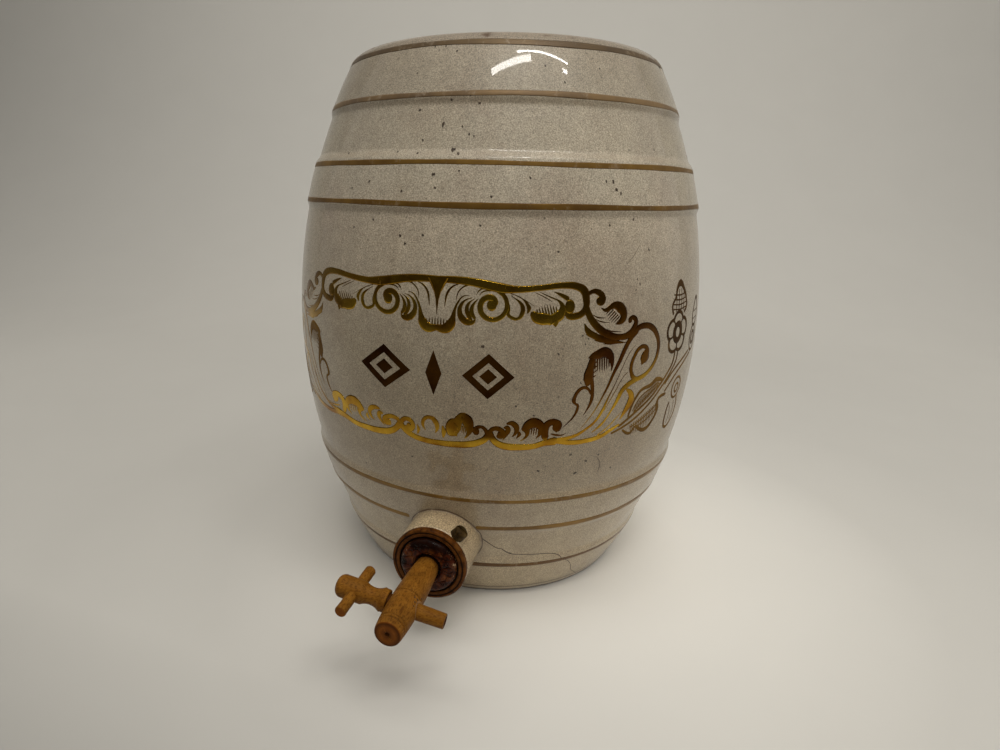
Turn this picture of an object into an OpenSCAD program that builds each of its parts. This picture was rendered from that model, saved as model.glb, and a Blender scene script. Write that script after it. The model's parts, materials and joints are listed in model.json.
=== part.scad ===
// Glazed spirit barrel with raised hoops, a lift-off lid and a turned wooden tap.
// The barrel stands on z = 0 with its axis on Z, and the tap points along -Y.

/* [Barrel] */
// Height from the table to the top of the rim
barrel_h = 360; // [300:1:420]
// Diameter at the belly, between the hoops
belly_d = 300; // [270:1:340]
// Diameter that the bowed side runs to at both ends
end_d = 206; // [190:1:240]
// Thickness of the fired wall
wall = 9; // [6:0.5:12]
// Thickness of the floor
floor_t = 10; // [6:0.5:16]
// Rounding of the rim's outer edge
rim_round = 5; // [2:0.5:6]
// Rounding of the rim's inner edge
rim_inner_round = 3; // [1:0.5:4]
// Rounding of the foot
foot_round = 3; // [1:0.5:5]

/* [Hoops] */
// Height of the raised hoops over the side
hoop_proud = 1.8; // [1:0.1:3]
// Depth of the hoop at each end of the barrel
end_hoop_w = 33; // [20:1:45]
// Plain side between the end hoop and the inner hoop
hoop_gap = 36; // [20:1:50]
// Depth of the inner hoop
inner_hoop_w = 22; // [12:1:30]

/* [Top] */
// Depth of the top plate below the rim
top_recess = 14; // [8:1:24]
// Thickness of the top plate
top_t = 9; // [6:0.5:12]
// Diameter of the filling mouth
mouth_d = 110; // [80:1:130]

/* [Lid] */
// How far the lid laps over the mouth's edge
lid_lap = 12; // [6:1:20]
// Thickness of the lid at its edge
lid_t = 7; // [5:0.5:10]
// Rise of the lid's domed top
lid_rise = 4; // [2:0.5:8]
// Depth of the step that drops into the mouth
lid_step_h = 4; // [3:0.5:8]
// Diameter of the knob
knob_d = 32; // [24:1:44]
// Thickness of the knob
knob_t = 11; // [8:0.5:16]
// Diameter of the knob's neck
knob_neck_d = 18; // [12:1:22]
// Height of the knob's neck over the lid's dome
knob_neck_h = 4; // [2:0.5:8]

/* [Boss] */
// Height of the tap's axis over the table
tap_z = 56; // [48:1:70]
// Diameter of the boss
boss_d = 48; // [46:1:60]
// How far the boss stands out of the barrel's side
boss_out = 30; // [22:1:40]
// Diameter of the hole through the barrel's wall
wall_hole_d = 32; // [20:1:34]

/* [Collar] */
// Diameter of the collar's sleeve
sleeve_d = 39; // [38:0.5:42]
// Wall of the collar's sleeve
sleeve_wall = 1.5; // [1:0.25:2]
// Length of the sleeve inside the boss
sleeve_l = 24; // [18:1:28]
// Thickness of the collar's ring
ring_t = 4; // [3:0.5:6]
// Rounding of the ring's outer edge
ring_round = 1.5; // [0.5:0.25:2.5]
// Radius of the turned line round the ring's face
ring_line_r = 0.5; // [0.3:0.1:0.6]
// Width of the open groove inside the ring
groove_w = 2; // [1:0.25:2.5]
// Depth of the open groove inside the ring
groove_depth = 2.5; // [1:0.25:2.5]
// Diameter of the collar screw's shank
screw_d = 5; // [3:0.5:6]
// Diameter of the collar screw's head
screw_head_d = 9; // [7:0.5:10]
// Height of the collar screw's head
screw_head_h = 6; // [4:0.5:12]
// Turn of the collar screw above level, to the spout's side
screw_turn = 50; // [0:1:80]
// Depth of the screw head's flat seat in the boss
screw_seat = 0.6; // [0.5:0.1:1]
// Width of the slot in the screw's head
screw_slot = 1.4; // [1:0.1:2]

/* [Bung] */
// Length of the cork bung
bung_l = 20; // [14:1:22]
// How far the seal stands out of the ring's face
seal_out = 3; // [1:0.25:5]
// Rounding of the seal's edge
seal_round = 3.5; // [0.5:0.25:4]

/* [Tap] */
// Turn of the tap from spout level, spout going down
tap_roll = 9; // [0:1:45]
// Length of the tap in front of the ring's face
tap_out = 64; // [54:1:80]
// Length of the tail behind the ring's face
tail_l = 64; // [54:1:76]
// Diameter of the tail's inner end
tail_end_d = 11; // [9:0.5:12]
// Diameter of the tap where it leaves the ring
tap_root_d = 14; // [13:0.5:16]
// Diameter of the tap at the key
tap_d = 18; // [17:0.5:24]
// Diameter of the tap's front face
tap_front_d = 15; // [13:0.5:17]
// Rounding of the tap's front edge
tap_front_round = 0.8; // [0.4:0.1:1.5]
// Diameter of the bore along the tap
tap_bore_d = 5; // [4:0.25:6]
// Radius of the turned decorating grooves
turned_groove_r = 0.6; // [0.3:0.1:0.9]
// Single groove, back from the key
groove_back = 8; // [7:0.5:12]
// First of the two front grooves, back from the front face
groove_front = 9; // [7:0.5:10]
// Spacing of the two front grooves
groove_pitch = 2.4; // [2:0.2:3]
// Diameter of the turning centre in the front face
centre_mark_d = 2.4; // [1.5:0.1:3]
// Diameter of the turning centre's flat tip
centre_tip_d = 0.6; // [0.4:0.1:1]

/* [Key] */
// Key's axis in front of the ring's face
key_out = 41; // [32:0.5:42]
// Diameter of the key inside the tap
key_d = 9; // [8.5:0.25:10]
// Wall of the cork liner round the key
liner_wall = 1.2; // [0.8:0.1:1.4]
// Length of the spout side, from the tap's axis
spout_l = 24.5; // [20:0.5:30]
// Diameter of the spout
spout_d = 8.4; // [8:0.1:8.4]
// Diameter of the spout's outlet
outlet_d = 5; // [4.5:0.25:6]
// Length of the outlet's straight wall
outlet_l = 18; // [12:0.5:18]
// Diameter of the port through the key
port_d = 4; // [3:0.25:4.25]
// Diameter of the key's collar, against the tap
key_collar_d = 12.8; // [12:0.2:15]
// Depth of the key's collar
key_collar_w = 4; // [3:0.5:6]
// Length of the key's neck
key_neck_l = 11; // [8:0.5:13]
// Diameter at the middle of the key's neck
key_neck_d = 9.6; // [8:0.2:10.4]
// Length of the key's head
key_head_l = 16; // [15:0.5:20]
// Diameter of the key's head
key_head_d = 13; // [12:0.5:16]
// Rounding of the key's head
key_head_round = 4; // [2:0.5:5]
// Crossbar's axis, in from the end of the head
crossbar_in = 11.5; // [10:0.5:11.5]
// Diameter of the crossbar
crossbar_d = 6.6; // [5:0.2:7]
// Length of the crossbar
crossbar_l = 39; // [30:1:50]
// Rounding of the crossbar's ends
crossbar_round = 0.8; // [0.4:0.1:1.5]

/* [Clearances] */
// Gap at joints that are glued, pressed or cemented, on the radius
set_gap = 0.05; // [0.02:0.01:0.08]
// Gap of turning fits, on the radius
turn_gap = 0.06; // [0.03:0.01:0.1]
// Gap between pieces that pass each other, on the radius
pass_gap = 0.3; // [0.2:0.05:0.5]
// Gap between the lid's step and the mouth, on the radius
lid_gap = 1; // [0.5:0.25:2]

/* [Hidden] */
$fn = 96;
// Overshoot of a cut past the face that it opens
over = 1;

// The side is an arc bowed out between the two ends
bow = (belly_d - end_d) / 2;
bow_r = (pow(barrel_h / 2, 2) + pow(bow, 2)) / (2 * bow);
bow_x = belly_d / 2 - bow_r;
mid_z = barrel_h / 2;
function barrel_r(z) = bow_x + sqrt(pow(bow_r, 2) - pow(z - mid_z, 2));
function bow_angle(z) = asin((z - mid_z) / bow_r);

// Levels of the hoops, counted from the end of the barrel
inner_hoop_from = end_hoop_w + hoop_gap;
inner_hoop_to = inner_hoop_from + inner_hoop_w;

// Levels of the top
top_z = barrel_h - top_recess;
recess_r = barrel_r(barrel_h) - wall;
mouth_r = mouth_d / 2;
lid_r = mouth_r + lid_lap;
knob_z = top_z + lid_t + lid_rise + knob_neck_h;

// Distances along the tap, from the barrel's axis outwards
boss_face = barrel_r(tap_z) + boss_out;
ring_face = boss_face + ring_t;
sleeve_in = boss_face - sleeve_l;
seal_face = ring_face + seal_out;
bung_face = ring_face - ring_t;
bung_in = bung_face - bung_l;
tap_front = ring_face + tap_out;
tail_in = ring_face - tail_l;
key_at = ring_face + key_out;

// Radii round the tap's axis
sleeve_r = sleeve_d / 2;
sleeve_bore_r = sleeve_r - sleeve_wall;
bung_r = sleeve_bore_r - set_gap;
boss_bore_r = sleeve_r + set_gap;
screw_at = boss_face - screw_head_d / 2;
screw_seat_r = boss_d / 2 - screw_seat;
function tail_r(at) = (tail_end_d + (tap_root_d - tail_end_d) * (at - tail_in) / tail_l) / 2;
// Radius of the tap behind the key, at a distance out of the ring's face
function tap_back_r(out) = (tap_d - (tap_d - tap_root_d) * pow(1 - out / key_out, 2)) / 2;

// Places along the key, from the tap's axis, minus towards the head
liner_r = key_d / 2 + turn_gap + liner_wall;
liner_half = sqrt(pow(tap_d / 2, 2) - pow(liner_r, 2)) - pass_gap;
key_collar_at = -tap_d / 2 - pass_gap;
key_neck_at = key_collar_at - key_collar_w;
key_head_at = key_neck_at - key_neck_l;
key_end = key_head_at - key_head_l;
crossbar_at = key_end + crossbar_in;
spout_root = tap_d / 2 + pass_gap;

// Frame of the tap: Z along the tap towards its front, Y up
module on_tap_axis() {
    translate([0, 0, tap_z]) rotate([90, 0, 0]) children();
}

// Frame of the tap as it is turned in the bung: X along the spout
module on_tap() {
    on_tap_axis() rotate([0, 0, -tap_roll]) children();
}

// Frame of the key: Z along the key towards the spout's end
module on_key() {
    on_tap() translate([0, 0, key_at]) rotate([0, 90, 0]) children();
}

// Frame of the collar screw: Z out of the boss
module on_screw() {
    on_tap_axis() translate([0, 0, screw_at]) rotate([0, 0, screw_turn]) rotate([0, 90, 0]) children();
}

// Half profile of the bowed side between two levels
module bow_area(proud, from_z, to_z) {
    intersection() {
        translate([bow_x, mid_z]) circle(bow_r + proud, $fn = 360);
        translate([0, from_z]) square([belly_d, to_z - from_z]);
    }
}

// Half profile of a hoop, square to the side, with rounded edges
module hoop_area(from_z, to_z) {
    low = bow_angle(from_z + hoop_proud);
    high = bow_angle(to_z - hoop_proud);
    reach = bow_r + belly_d;
    translate([bow_x, mid_z]) {
        intersection() {
            circle(bow_r + hoop_proud, $fn = 360);
            polygon([[0, 0], reach * [cos(low), sin(low)], reach * [cos(high), sin(high)]]);
        }
        for (a = [low, high]) rotate(a) translate([bow_r, 0]) circle(hoop_proud, $fn = 32);
    }
}

// What a rounding takes off the top edge of the hooped side
module edge_cut(round_r) {
    arc_r = bow_r + hoop_proud;
    spin_r = arc_r - round_r;
    turn = asin((mid_z - round_r) / spin_r);
    centre = [bow_x, mid_z] + spin_r * [cos(turn), sin(turn)];
    outer = [bow_x, mid_z] + (arc_r + 2 * round_r) * [cos(turn), sin(turn)];
    difference() {
        polygon([centre, outer, [outer[0], barrel_h + over], [centre[0], barrel_h + over]]);
        translate(centre) circle(round_r, $fn = 48);
    }
}

// What a rounding takes off the rim's inner edge
module rim_inner_cut() {
    centre = [recess_r + rim_inner_round, barrel_h - rim_inner_round];
    difference() {
        translate([recess_r - over, centre[1]]) square(rim_inner_round + over);
        translate(centre) circle(rim_inner_round, $fn = 48);
    }
}

// Half profile of the outside, with its hoops and roundings
module outside_area() {
    difference() {
        intersection() {
            union() {
                bow_area(0, 0, barrel_h);
                for (flip = [0, 1]) translate([0, flip * barrel_h]) mirror([0, flip]) {
                    hoop_area(-2 * hoop_proud, end_hoop_w);
                    hoop_area(inner_hoop_from, inner_hoop_to);
                }
            }
            square([belly_d, barrel_h]);
        }
        edge_cut(rim_round);
        translate([0, barrel_h]) mirror([0, 1]) edge_cut(foot_round);
    }
}

// Half profile of the inside: the hollow, the mouth and the recess over the top plate
module inside_area() {
    bow_area(-wall, floor_t, top_z - top_t);
    translate([0, top_z]) square([recess_r, top_recess + over]);
    translate([0, floor_t]) square([mouth_r, barrel_h - floor_t]);
    rim_inner_cut();
}

module barrel_body() {
    color("#d3cbb9") difference() {
        union() {
            rotate_extrude() outside_area();
            on_tap_axis() cylinder(h = boss_face, d = boss_d);
        }
        rotate_extrude() inside_area();
        on_tap_axis() cylinder(h = boss_face + over, d = wall_hole_d);
        on_tap_axis() translate([0, 0, sleeve_in - set_gap])
            cylinder(h = sleeve_l + set_gap + over, r = boss_bore_r);
        on_screw() cylinder(h = boss_d, r = screw_d / 2 + set_gap);
        on_screw() translate([0, 0, screw_seat_r]) cylinder(h = boss_d, r = screw_head_d / 2 + set_gap);
    }
}

// Half profile of the lid over the top plate, with a domed top and round edge
module lid_area() {
    edge_r = lid_t / 2;
    flat_r = lid_r - edge_r;
    dome_r = (pow(flat_r, 2) + pow(lid_rise, 2)) / (2 * lid_rise);
    square([flat_r, lid_t]);
    translate([flat_r, edge_r]) circle(edge_r, $fn = 48);
    intersection() {
        translate([0, lid_t + lid_rise - dome_r]) circle(dome_r, $fn = 360);
        translate([0, lid_t - over]) square([flat_r, lid_rise + 2 * over]);
    }
    translate([0, -lid_step_h]) square([mouth_r - lid_gap, lid_step_h + over]);
}

module lid() {
    knob_edge = knob_t / 2;
    color("#d3cbb9") {
        translate([0, 0, top_z]) rotate_extrude() lid_area();
        translate([0, 0, top_z + lid_t]) cylinder(h = lid_rise + knob_neck_h + knob_edge, d = knob_neck_d);
        translate([0, 0, knob_z]) rotate_extrude() {
            square([knob_d / 2 - knob_edge, knob_t]);
            translate([knob_d / 2 - knob_edge, knob_edge]) circle(knob_edge, $fn = 48);
        }
    }
}

// Half profile of the collar's ring, with a turned line round its face
module ring_area() {
    outer = boss_d / 2;
    line_at = (sleeve_bore_r + groove_w + outer) / 2;
    difference() {
        union() {
            square([outer - ring_round, ring_t]);
            square([outer, ring_t - ring_round]);
            translate([outer - ring_round, ring_t - ring_round]) circle(ring_round, $fn = 32);
        }
        translate([line_at, ring_t]) circle(ring_line_r, $fn = 32);
    }
}

module tap_collar() {
    color("#6a4f2c") on_tap_axis() difference() {
        union() {
            translate([0, 0, boss_face]) rotate_extrude() ring_area();
            translate([0, 0, sleeve_in]) cylinder(h = sleeve_l + over, r = sleeve_r);
        }
        translate([0, 0, sleeve_in - over]) cylinder(h = sleeve_l + ring_t + 2 * over, r = sleeve_bore_r);
        translate([0, 0, ring_face - groove_depth])
            cylinder(h = groove_depth + over, r = sleeve_bore_r + groove_w);
        translate([0, 0, screw_at]) rotate([0, 0, screw_turn]) rotate([0, 90, 0])
            cylinder(h = boss_d, r = screw_d / 2 + set_gap);
    }
}

module collar_screw() {
    color("#4b4030") on_screw() difference() {
        union() {
            translate([0, 0, sleeve_bore_r + set_gap]) cylinder(h = boss_d / 2 - sleeve_bore_r, d = screw_d);
            translate([0, 0, screw_seat_r]) cylinder(h = screw_seat + screw_head_h, d = screw_head_d);
        }
        translate([-screw_slot / 2, -screw_head_d, boss_d / 2 + screw_head_h - screw_slot])
            cube([screw_slot, 2 * screw_head_d, 2 * screw_slot]);
    }
}

module bung() {
    color("#b08a5a") on_tap_axis() difference() {
        translate([0, 0, bung_in]) cylinder(h = bung_l, r = bung_r);
        translate([0, 0, bung_in - over])
            cylinder(
                h = bung_l + 2 * over,
                r1 = tail_r(bung_in - over) + turn_gap,
                r2 = tail_r(bung_face + over) + turn_gap
            );
    }
}

module wax_seal() {
    seal_t = seal_face - bung_face;
    color("#4a1f14") on_tap_axis() translate([0, 0, bung_face]) difference() {
        rotate_extrude() {
            square([bung_r - seal_round, seal_t]);
            square([bung_r, seal_t - seal_round]);
            translate([bung_r - seal_round, seal_t - seal_round]) circle(seal_round, $fn = 32);
        }
        translate([0, 0, -over]) cylinder(h = seal_t + 2 * over, r = tap_back_r(seal_out) + pass_gap);
    }
}

// Half profile that bows from a radius at the start to another at its far end
module bulge_area(start_r, far_r, length) {
    drop = start_r - far_r;
    arc_r = (pow(length, 2) + pow(drop, 2)) / (2 * drop);
    intersection() {
        translate([start_r - arc_r, 0]) circle(arc_r, $fn = 360);
        square([start_r, length]);
    }
}

// Half profile of the tap's body with its tail, before drilling
module tap_area() {
    front_l = tap_front - key_at;
    tail = [[0, tail_in], [tail_end_d / 2, tail_in], [tap_root_d / 2, ring_face], [0, ring_face]];
    grooves = [
        [tap_back_r(key_out - groove_back), key_at - groove_back],
        [tap_front_d / 2 + (tap_d - tap_front_d) / 2 * (1 - pow(1 - groove_front / front_l, 2)),
            tap_front - groove_front],
        [tap_front_d / 2
            + (tap_d - tap_front_d) / 2 * (1 - pow(1 - (groove_front - groove_pitch) / front_l, 2)),
            tap_front - groove_front + groove_pitch]
    ];
    edge = [tap_front_d / 2 - tap_front_round, tap_front - tap_front_round];
    difference() {
        union() {
            polygon(tail);
            translate([0, key_at]) mirror([0, 1]) bulge_area(tap_d / 2, tap_root_d / 2, key_out);
            translate([0, key_at]) bulge_area(tap_d / 2, tap_front_d / 2, front_l);
        }
        for (g = grooves) translate(g) circle(turned_groove_r, $fn = 32);
        difference() {
            translate(edge) square(2 * tap_front_round);
            translate(edge) circle(tap_front_round, $fn = 32);
        }
    }
}

module tap_body() {
    color("#b87a3a") difference() {
        on_tap() rotate_extrude() tap_area();
        on_tap() translate([0, 0, tail_in - over]) cylinder(h = key_at - tail_in + over, d = tap_bore_d);
        on_tap() translate([0, 0, tap_front - centre_mark_d])
            cylinder(h = centre_mark_d + over, d1 = centre_tip_d, d2 = centre_mark_d + over);
        on_key() translate([0, 0, -tap_d]) cylinder(h = 2 * tap_d, r = liner_r + set_gap);
    }
}

module key_liner() {
    color("#9c7748") difference() {
        on_key() translate([0, 0, -liner_half]) cylinder(h = 2 * liner_half, r = liner_r);
        on_key() translate([0, 0, -tap_d]) cylinder(h = 2 * tap_d, r = key_d / 2 + turn_gap);
        on_tap() translate([0, 0, tail_in]) cylinder(h = key_at - tail_in, d = tap_bore_d);
    }
}

// Half profile of the turned key, before drilling
module key_area() {
    head_r = key_head_d / 2;
    neck_r = key_neck_d / 2;
    neck_drop = key_collar_d / 2 - neck_r;
    neck_arc = (pow(key_neck_l / 2, 2) + pow(neck_drop, 2)) / (2 * neck_drop);
    translate([0, key_end + key_head_round]) square([head_r, key_head_l - key_head_round]);
    translate([0, key_end]) intersection() {
        square([head_r, key_head_l]);
        translate([head_r - key_head_round, key_head_round]) circle(key_head_round, $fn = 48);
    }
    translate([0, key_end]) square([head_r - key_head_round, key_head_l]);
    difference() {
        translate([0, key_head_at]) square([key_collar_d / 2, key_neck_l]);
        translate([neck_r + neck_arc, key_head_at + key_neck_l / 2]) circle(neck_arc, $fn = 96);
    }
    translate([0, key_neck_at]) square([key_collar_d / 2, key_collar_w]);
    translate([0, key_collar_at]) square([key_d / 2, spout_root - key_collar_at]);
    translate([0, key_collar_at]) square([spout_d / 2, spout_l - key_collar_at]);
}

module tap_key() {
    color("#b87a3a") difference() {
        on_key() rotate_extrude() key_area();
        on_key() translate([0, 0, -port_d / 2]) cylinder(h = spout_l + port_d, d = port_d);
        on_key() translate([0, 0, spout_l - outlet_l]) cylinder(h = outlet_l + over, d = outlet_d);
        on_tap() translate([0, 0, key_at - key_d]) cylinder(h = key_d, d = port_d);
        on_key() translate([0, 0, crossbar_at]) rotate([0, 90, 0])
            cylinder(h = 2 * key_head_d, r = crossbar_d / 2 + set_gap, center = true);
    }
}

module key_crossbar() {
    half = crossbar_l / 2;
    bar_r = crossbar_d / 2;
    color("#a96b30") on_key() translate([0, 0, crossbar_at]) rotate([0, 90, 0]) rotate_extrude() {
        translate([0, -half]) square([bar_r - crossbar_round, crossbar_l]);
        translate([0, crossbar_round - half]) square([bar_r, crossbar_l - 2 * crossbar_round]);
        for (side = [-1, 1]) translate([bar_r - crossbar_round, side * (half - crossbar_round)])
            circle(crossbar_round, $fn = 32);
    }
}

barrel_body();
lid();
tap_collar();
collar_screw();
bung();
wax_seal();
tap_body();
key_liner();
tap_key();
key_crossbar();
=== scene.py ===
import json
import math

import bmesh
import bpy
from mathutils import Matrix, Vector, noise


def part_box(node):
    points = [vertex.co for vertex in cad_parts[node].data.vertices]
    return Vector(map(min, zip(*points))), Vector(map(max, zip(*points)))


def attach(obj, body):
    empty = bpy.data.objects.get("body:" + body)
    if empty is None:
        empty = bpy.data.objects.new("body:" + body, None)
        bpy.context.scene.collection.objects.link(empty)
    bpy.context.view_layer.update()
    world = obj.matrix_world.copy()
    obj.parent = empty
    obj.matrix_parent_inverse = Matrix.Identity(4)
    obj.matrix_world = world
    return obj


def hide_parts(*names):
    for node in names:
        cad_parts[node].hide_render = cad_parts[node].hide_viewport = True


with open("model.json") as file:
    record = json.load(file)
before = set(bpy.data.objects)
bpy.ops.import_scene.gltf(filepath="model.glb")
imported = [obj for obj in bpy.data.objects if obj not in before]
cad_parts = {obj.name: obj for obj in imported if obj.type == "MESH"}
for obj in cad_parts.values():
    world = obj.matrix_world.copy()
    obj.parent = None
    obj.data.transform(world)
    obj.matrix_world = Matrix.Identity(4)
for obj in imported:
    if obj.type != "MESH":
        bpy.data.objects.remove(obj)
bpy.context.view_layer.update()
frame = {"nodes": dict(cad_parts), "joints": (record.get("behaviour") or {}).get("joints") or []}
mm = 0.001
joints = {joint["name"]: joint for joint in frame["joints"]}
print("frame loaded:", len(frame["nodes"]), "nodes")


# small helpers for meshes

def smoothStep(share):
    share = min(1, max(0, share))
    return share * share * (3 - 2 * share)


def arcPoints(centre, radius, fromDeg, toDeg, count):
    turns = [math.radians(fromDeg + (toDeg - fromDeg) * i / count) for i in range(count + 1)]
    return [(centre[0] + radius * math.cos(t), centre[1] + radius * math.sin(t)) for t in turns]


def lathe(profile, steps, closed=False):
    # profile is (radius, height) in mm, turned about Z
    bm = bmesh.new()
    verts = [bm.verts.new((r * mm, 0, h * mm)) for r, h in profile]
    edges = [bm.edges.new(pair) for pair in zip(verts, verts[1:])]
    if closed:
        edges.append(bm.edges.new((verts[-1], verts[0])))
    bmesh.ops.spin(bm, geom=verts + edges, cent=(0, 0, 0), axis=(0, 0, 1),
                   angle=math.tau, steps=steps, use_merge=True)
    bmesh.ops.remove_doubles(bm, verts=bm.verts, dist=1e-7)
    bmesh.ops.recalc_face_normals(bm, faces=bm.faces)
    return bm


def meshFrom(name, bm):
    mesh = bpy.data.meshes.new(name)
    bm.to_mesh(mesh)
    bm.free()
    return mesh


def linkNew(name, data):
    made = bpy.data.objects.new(name, data)
    bpy.context.scene.collection.objects.link(made)
    return made


def turned(deg, axis):
    return Matrix.Rotation(math.radians(deg), 4, axis)


def shifted(x, y, z):
    # in mm
    return Matrix.Translation((x * mm, y * mm, z * mm))


def addPiece(name, bm, material, body, replaced=(), sharpDeg=40):
    return dressPiece(name, meshFrom(name, bm), material, body, replaced, sharpDeg)


def dressPiece(name, mesh, material, body, replaced=(), sharpDeg=40):
    mesh.name = name
    mesh.materials.clear()
    mesh.materials.append(material)
    mesh.shade_smooth()
    mesh.set_sharp_from_angle(angle=math.radians(sharpDeg))
    piece = linkNew(name, mesh)
    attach(piece, body)
    if replaced:
        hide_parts(*replaced)
    return piece


def cutAway(bm, cutter, operation="DIFFERENCE"):
    # takes the cutter's shape out of a mesh, or keeps what both share, and frees both
    whole = linkNew("cutWhole", meshFrom("cutWhole", bm))
    tool = linkNew("cutTool", meshFrom("cutTool", cutter))
    cut = whole.modifiers.new("cut", "BOOLEAN")
    cut.operation = operation
    cut.solver = "EXACT"
    cut.object = tool
    graph = bpy.context.evaluated_depsgraph_get()
    cutMesh = bpy.data.meshes.new_from_object(whole.evaluated_get(graph))
    made = bmesh.new()
    made.from_mesh(cutMesh)
    for obj in (whole, tool):
        spare = obj.data
        bpy.data.objects.remove(obj)
        bpy.data.meshes.remove(spare)
    bpy.data.meshes.remove(cutMesh)
    return made


def rod(radius, length, place, segments=48):
    bm = bmesh.new()
    bmesh.ops.create_cone(bm, cap_ends=True, segments=segments, radius1=radius * mm,
                          radius2=radius * mm, depth=length * mm, matrix=place)
    return bm


# node helpers

def startMaterial(name):
    material = bpy.data.materials.new(name)
    material.use_nodes = True
    tree = material.node_tree
    return material, tree, tree.nodes["Principled BSDF"]


def plug(tree, node, values):
    # a pattern is linked, and a plain value is set on the socket
    for key, value in values.items():
        socket = node.inputs[key]
        if isinstance(value, bpy.types.NodeSocket):
            tree.links.new(value, socket)
        elif socket.type == "RGBA":
            socket.default_value = (*value, 1)
        else:
            socket.default_value = value


def addNode(tree, kind, values=None, **settings):
    node = tree.nodes.new(kind)
    for key, value in settings.items():
        setattr(node, key, value)
    plug(tree, node, values or {})
    return node


def objectCoords(tree, scale=(1, 1, 1), turn=(0, 0, 0), shift=(0, 0, 0)):
    coords = addNode(tree, "ShaderNodeTexCoord").outputs["Object"]
    turnRad = [math.radians(t) for t in turn]
    values = {"Vector": coords, "Scale": scale, "Rotation": turnRad, "Location": shift}
    return addNode(tree, "ShaderNodeMapping", values).outputs["Vector"]


def noiseMap(tree, coords, cells, detail=3.0, rough=0.55):
    values = {"Vector": coords, "Scale": cells, "Detail": detail, "Roughness": rough}
    return addNode(tree, "ShaderNodeTexNoise", values).outputs["Fac"]


def cellMap(tree, coords, cells, **settings):
    return addNode(tree, "ShaderNodeTexVoronoi", {"Vector": coords, "Scale": cells}, **settings)


def ramp(tree, value, stops):
    node = addNode(tree, "ShaderNodeValToRGB", {"Fac": value})
    band = node.color_ramp
    while len(band.elements) < len(stops):
        band.elements.new(0.5)
    for element, (place, colour) in zip(band.elements, stops):
        element.position = place
        shade = colour if isinstance(colour, tuple) else (colour,) * 3
        element.color = (*shade, 1)
    return node.outputs["Color"]


def calc(tree, operation, first, second=0.0, third=0.0, clamp=False):
    return addNode(tree, "ShaderNodeMath", {0: first, 1: second, 2: third},
                   operation=operation, use_clamp=clamp).outputs[0]


def times(tree, first, second):
    return calc(tree, "MULTIPLY", first, second)


def mixColour(tree, share, first, second, blend="MIX"):
    values = {0: share, 6: first, 7: second}
    return addNode(tree, "ShaderNodeMix", values, data_type="RGBA", blend_type=blend).outputs[2]


def tinted(tree, colour, tint):
    return mixColour(tree, 1.0, colour, tint, "MULTIPLY")


def attributeValue(tree, name):
    return addNode(tree, "ShaderNodeAttribute", attribute_name=name).outputs["Fac"]


def bumpNormal(tree, height, strength, depth):
    values = {"Height": height, "Strength": strength, "Distance": depth * mm}
    return addNode(tree, "ShaderNodeBump", values).outputs["Normal"]


# finishes: a look's cells are those of a pattern in a metre, and its colours are linear

glazeLook = {
    "cream": (0.535, 0.458, 0.336), "grey": (0.463, 0.396, 0.294), "stainAndShade": (0.27, 0.20, 0.125),
    "blush": (0.37, 0.285, 0.205), "crackle": (0.17, 0.125, 0.08), "speck": (0.055, 0.038, 0.024),
    "bare": (0.10, 0.062, 0.035), "clay": (0.46, 0.38, 0.27),
    "cloudCells": 13, "blushCells": 17, "streakCells": (60, 60, 6), "mottleCells": 110, "grainCells": 1500,
    "crackleCells": 560, "patchCells": 26, "fleckCells": 330, "grimeAndShadeCells": 120, "crowdCells": 16,
    "speckCells": 130, "pinCells": 330, "smearCells": 40, "rippleCells": 95, "footCells": 160,
    "grainDark": 0.52, "grainPale": 1.36, "crackleWidth": 0.08, "crackleMost": 0.46, "crackleLeast": 0.25,
    "fleckMost": 0.42, "rough": 0.34, "coat": 0.6, "coatRough": 0.03, "waveDepth": 0.45,
    "footReach": 10.4, "footUneven": 1.2,  # mm above the base that the foot's bands cover, and their waver
    "tall": 0.36,                          # m above the base that the tints and painted shade by height cover
    "tintAndShadeByHeight": (                             # share of that height, and the tint there: painted light and shade, partly a greyer band
        (0.0, (1.00, 0.93, 0.77)), (0.09, (1.00, 0.93, 0.78)), (0.20, (0.93, 0.88, 0.80)),
        (0.32, (0.73, 0.67, 0.58)), (0.50, (0.82, 0.80, 0.76)), (0.62, (0.94, 0.93, 0.93)),
        (0.72, (1.00, 0.99, 1.00)), (0.79, (0.99, 1.01, 1.03)), (0.85, (0.90, 0.91, 0.92)),
        (0.93, (0.72, 0.72, 0.72)), (0.975, (0.72, 0.71, 0.70)), (0.995, (0.49, 0.46, 0.44))),
}
bossTint = (1.0, 0.925, 0.78)
bossGlazeLook = dict(
    glazeLook, cream=(0.58, 0.49, 0.35), grey=(0.52, 0.43, 0.30), crackle=(0.13, 0.085, 0.045),
    crackleCells=600, crackleWidth=0.15, crackleMost=0.95, crackleLeast=0.75,
    grainDark=0.62, grainPale=1.34, fleckMost=0.15, tintAndShadeByHeight=((0.0, bossTint), (1.0, bossTint)))


def crackleLines(tree, coords, cells, width):
    edge = cellMap(tree, coords, cells, feature="DISTANCE_TO_EDGE").outputs["Distance"]
    return ramp(tree, edge, ((0.0, 1.0), (width, 0.0)))


def ironSpecks(tree, coords, cells, share, size):
    # round spots in a few of the cells, each of its own size
    cell = cellMap(tree, coords, cells)
    pick = addNode(tree, "ShaderNodeSeparateColor", {"Color": cell.outputs["Color"]}).outputs[0]
    reach = times(tree, calc(tree, "SUBTRACT", pick, 1 - share, clamp=True), size / share)
    inside = calc(tree, "SUBTRACT", reach, cell.outputs["Distance"])
    return calc(tree, "MULTIPLY", inside, 14.0, clamp=True)


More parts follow.
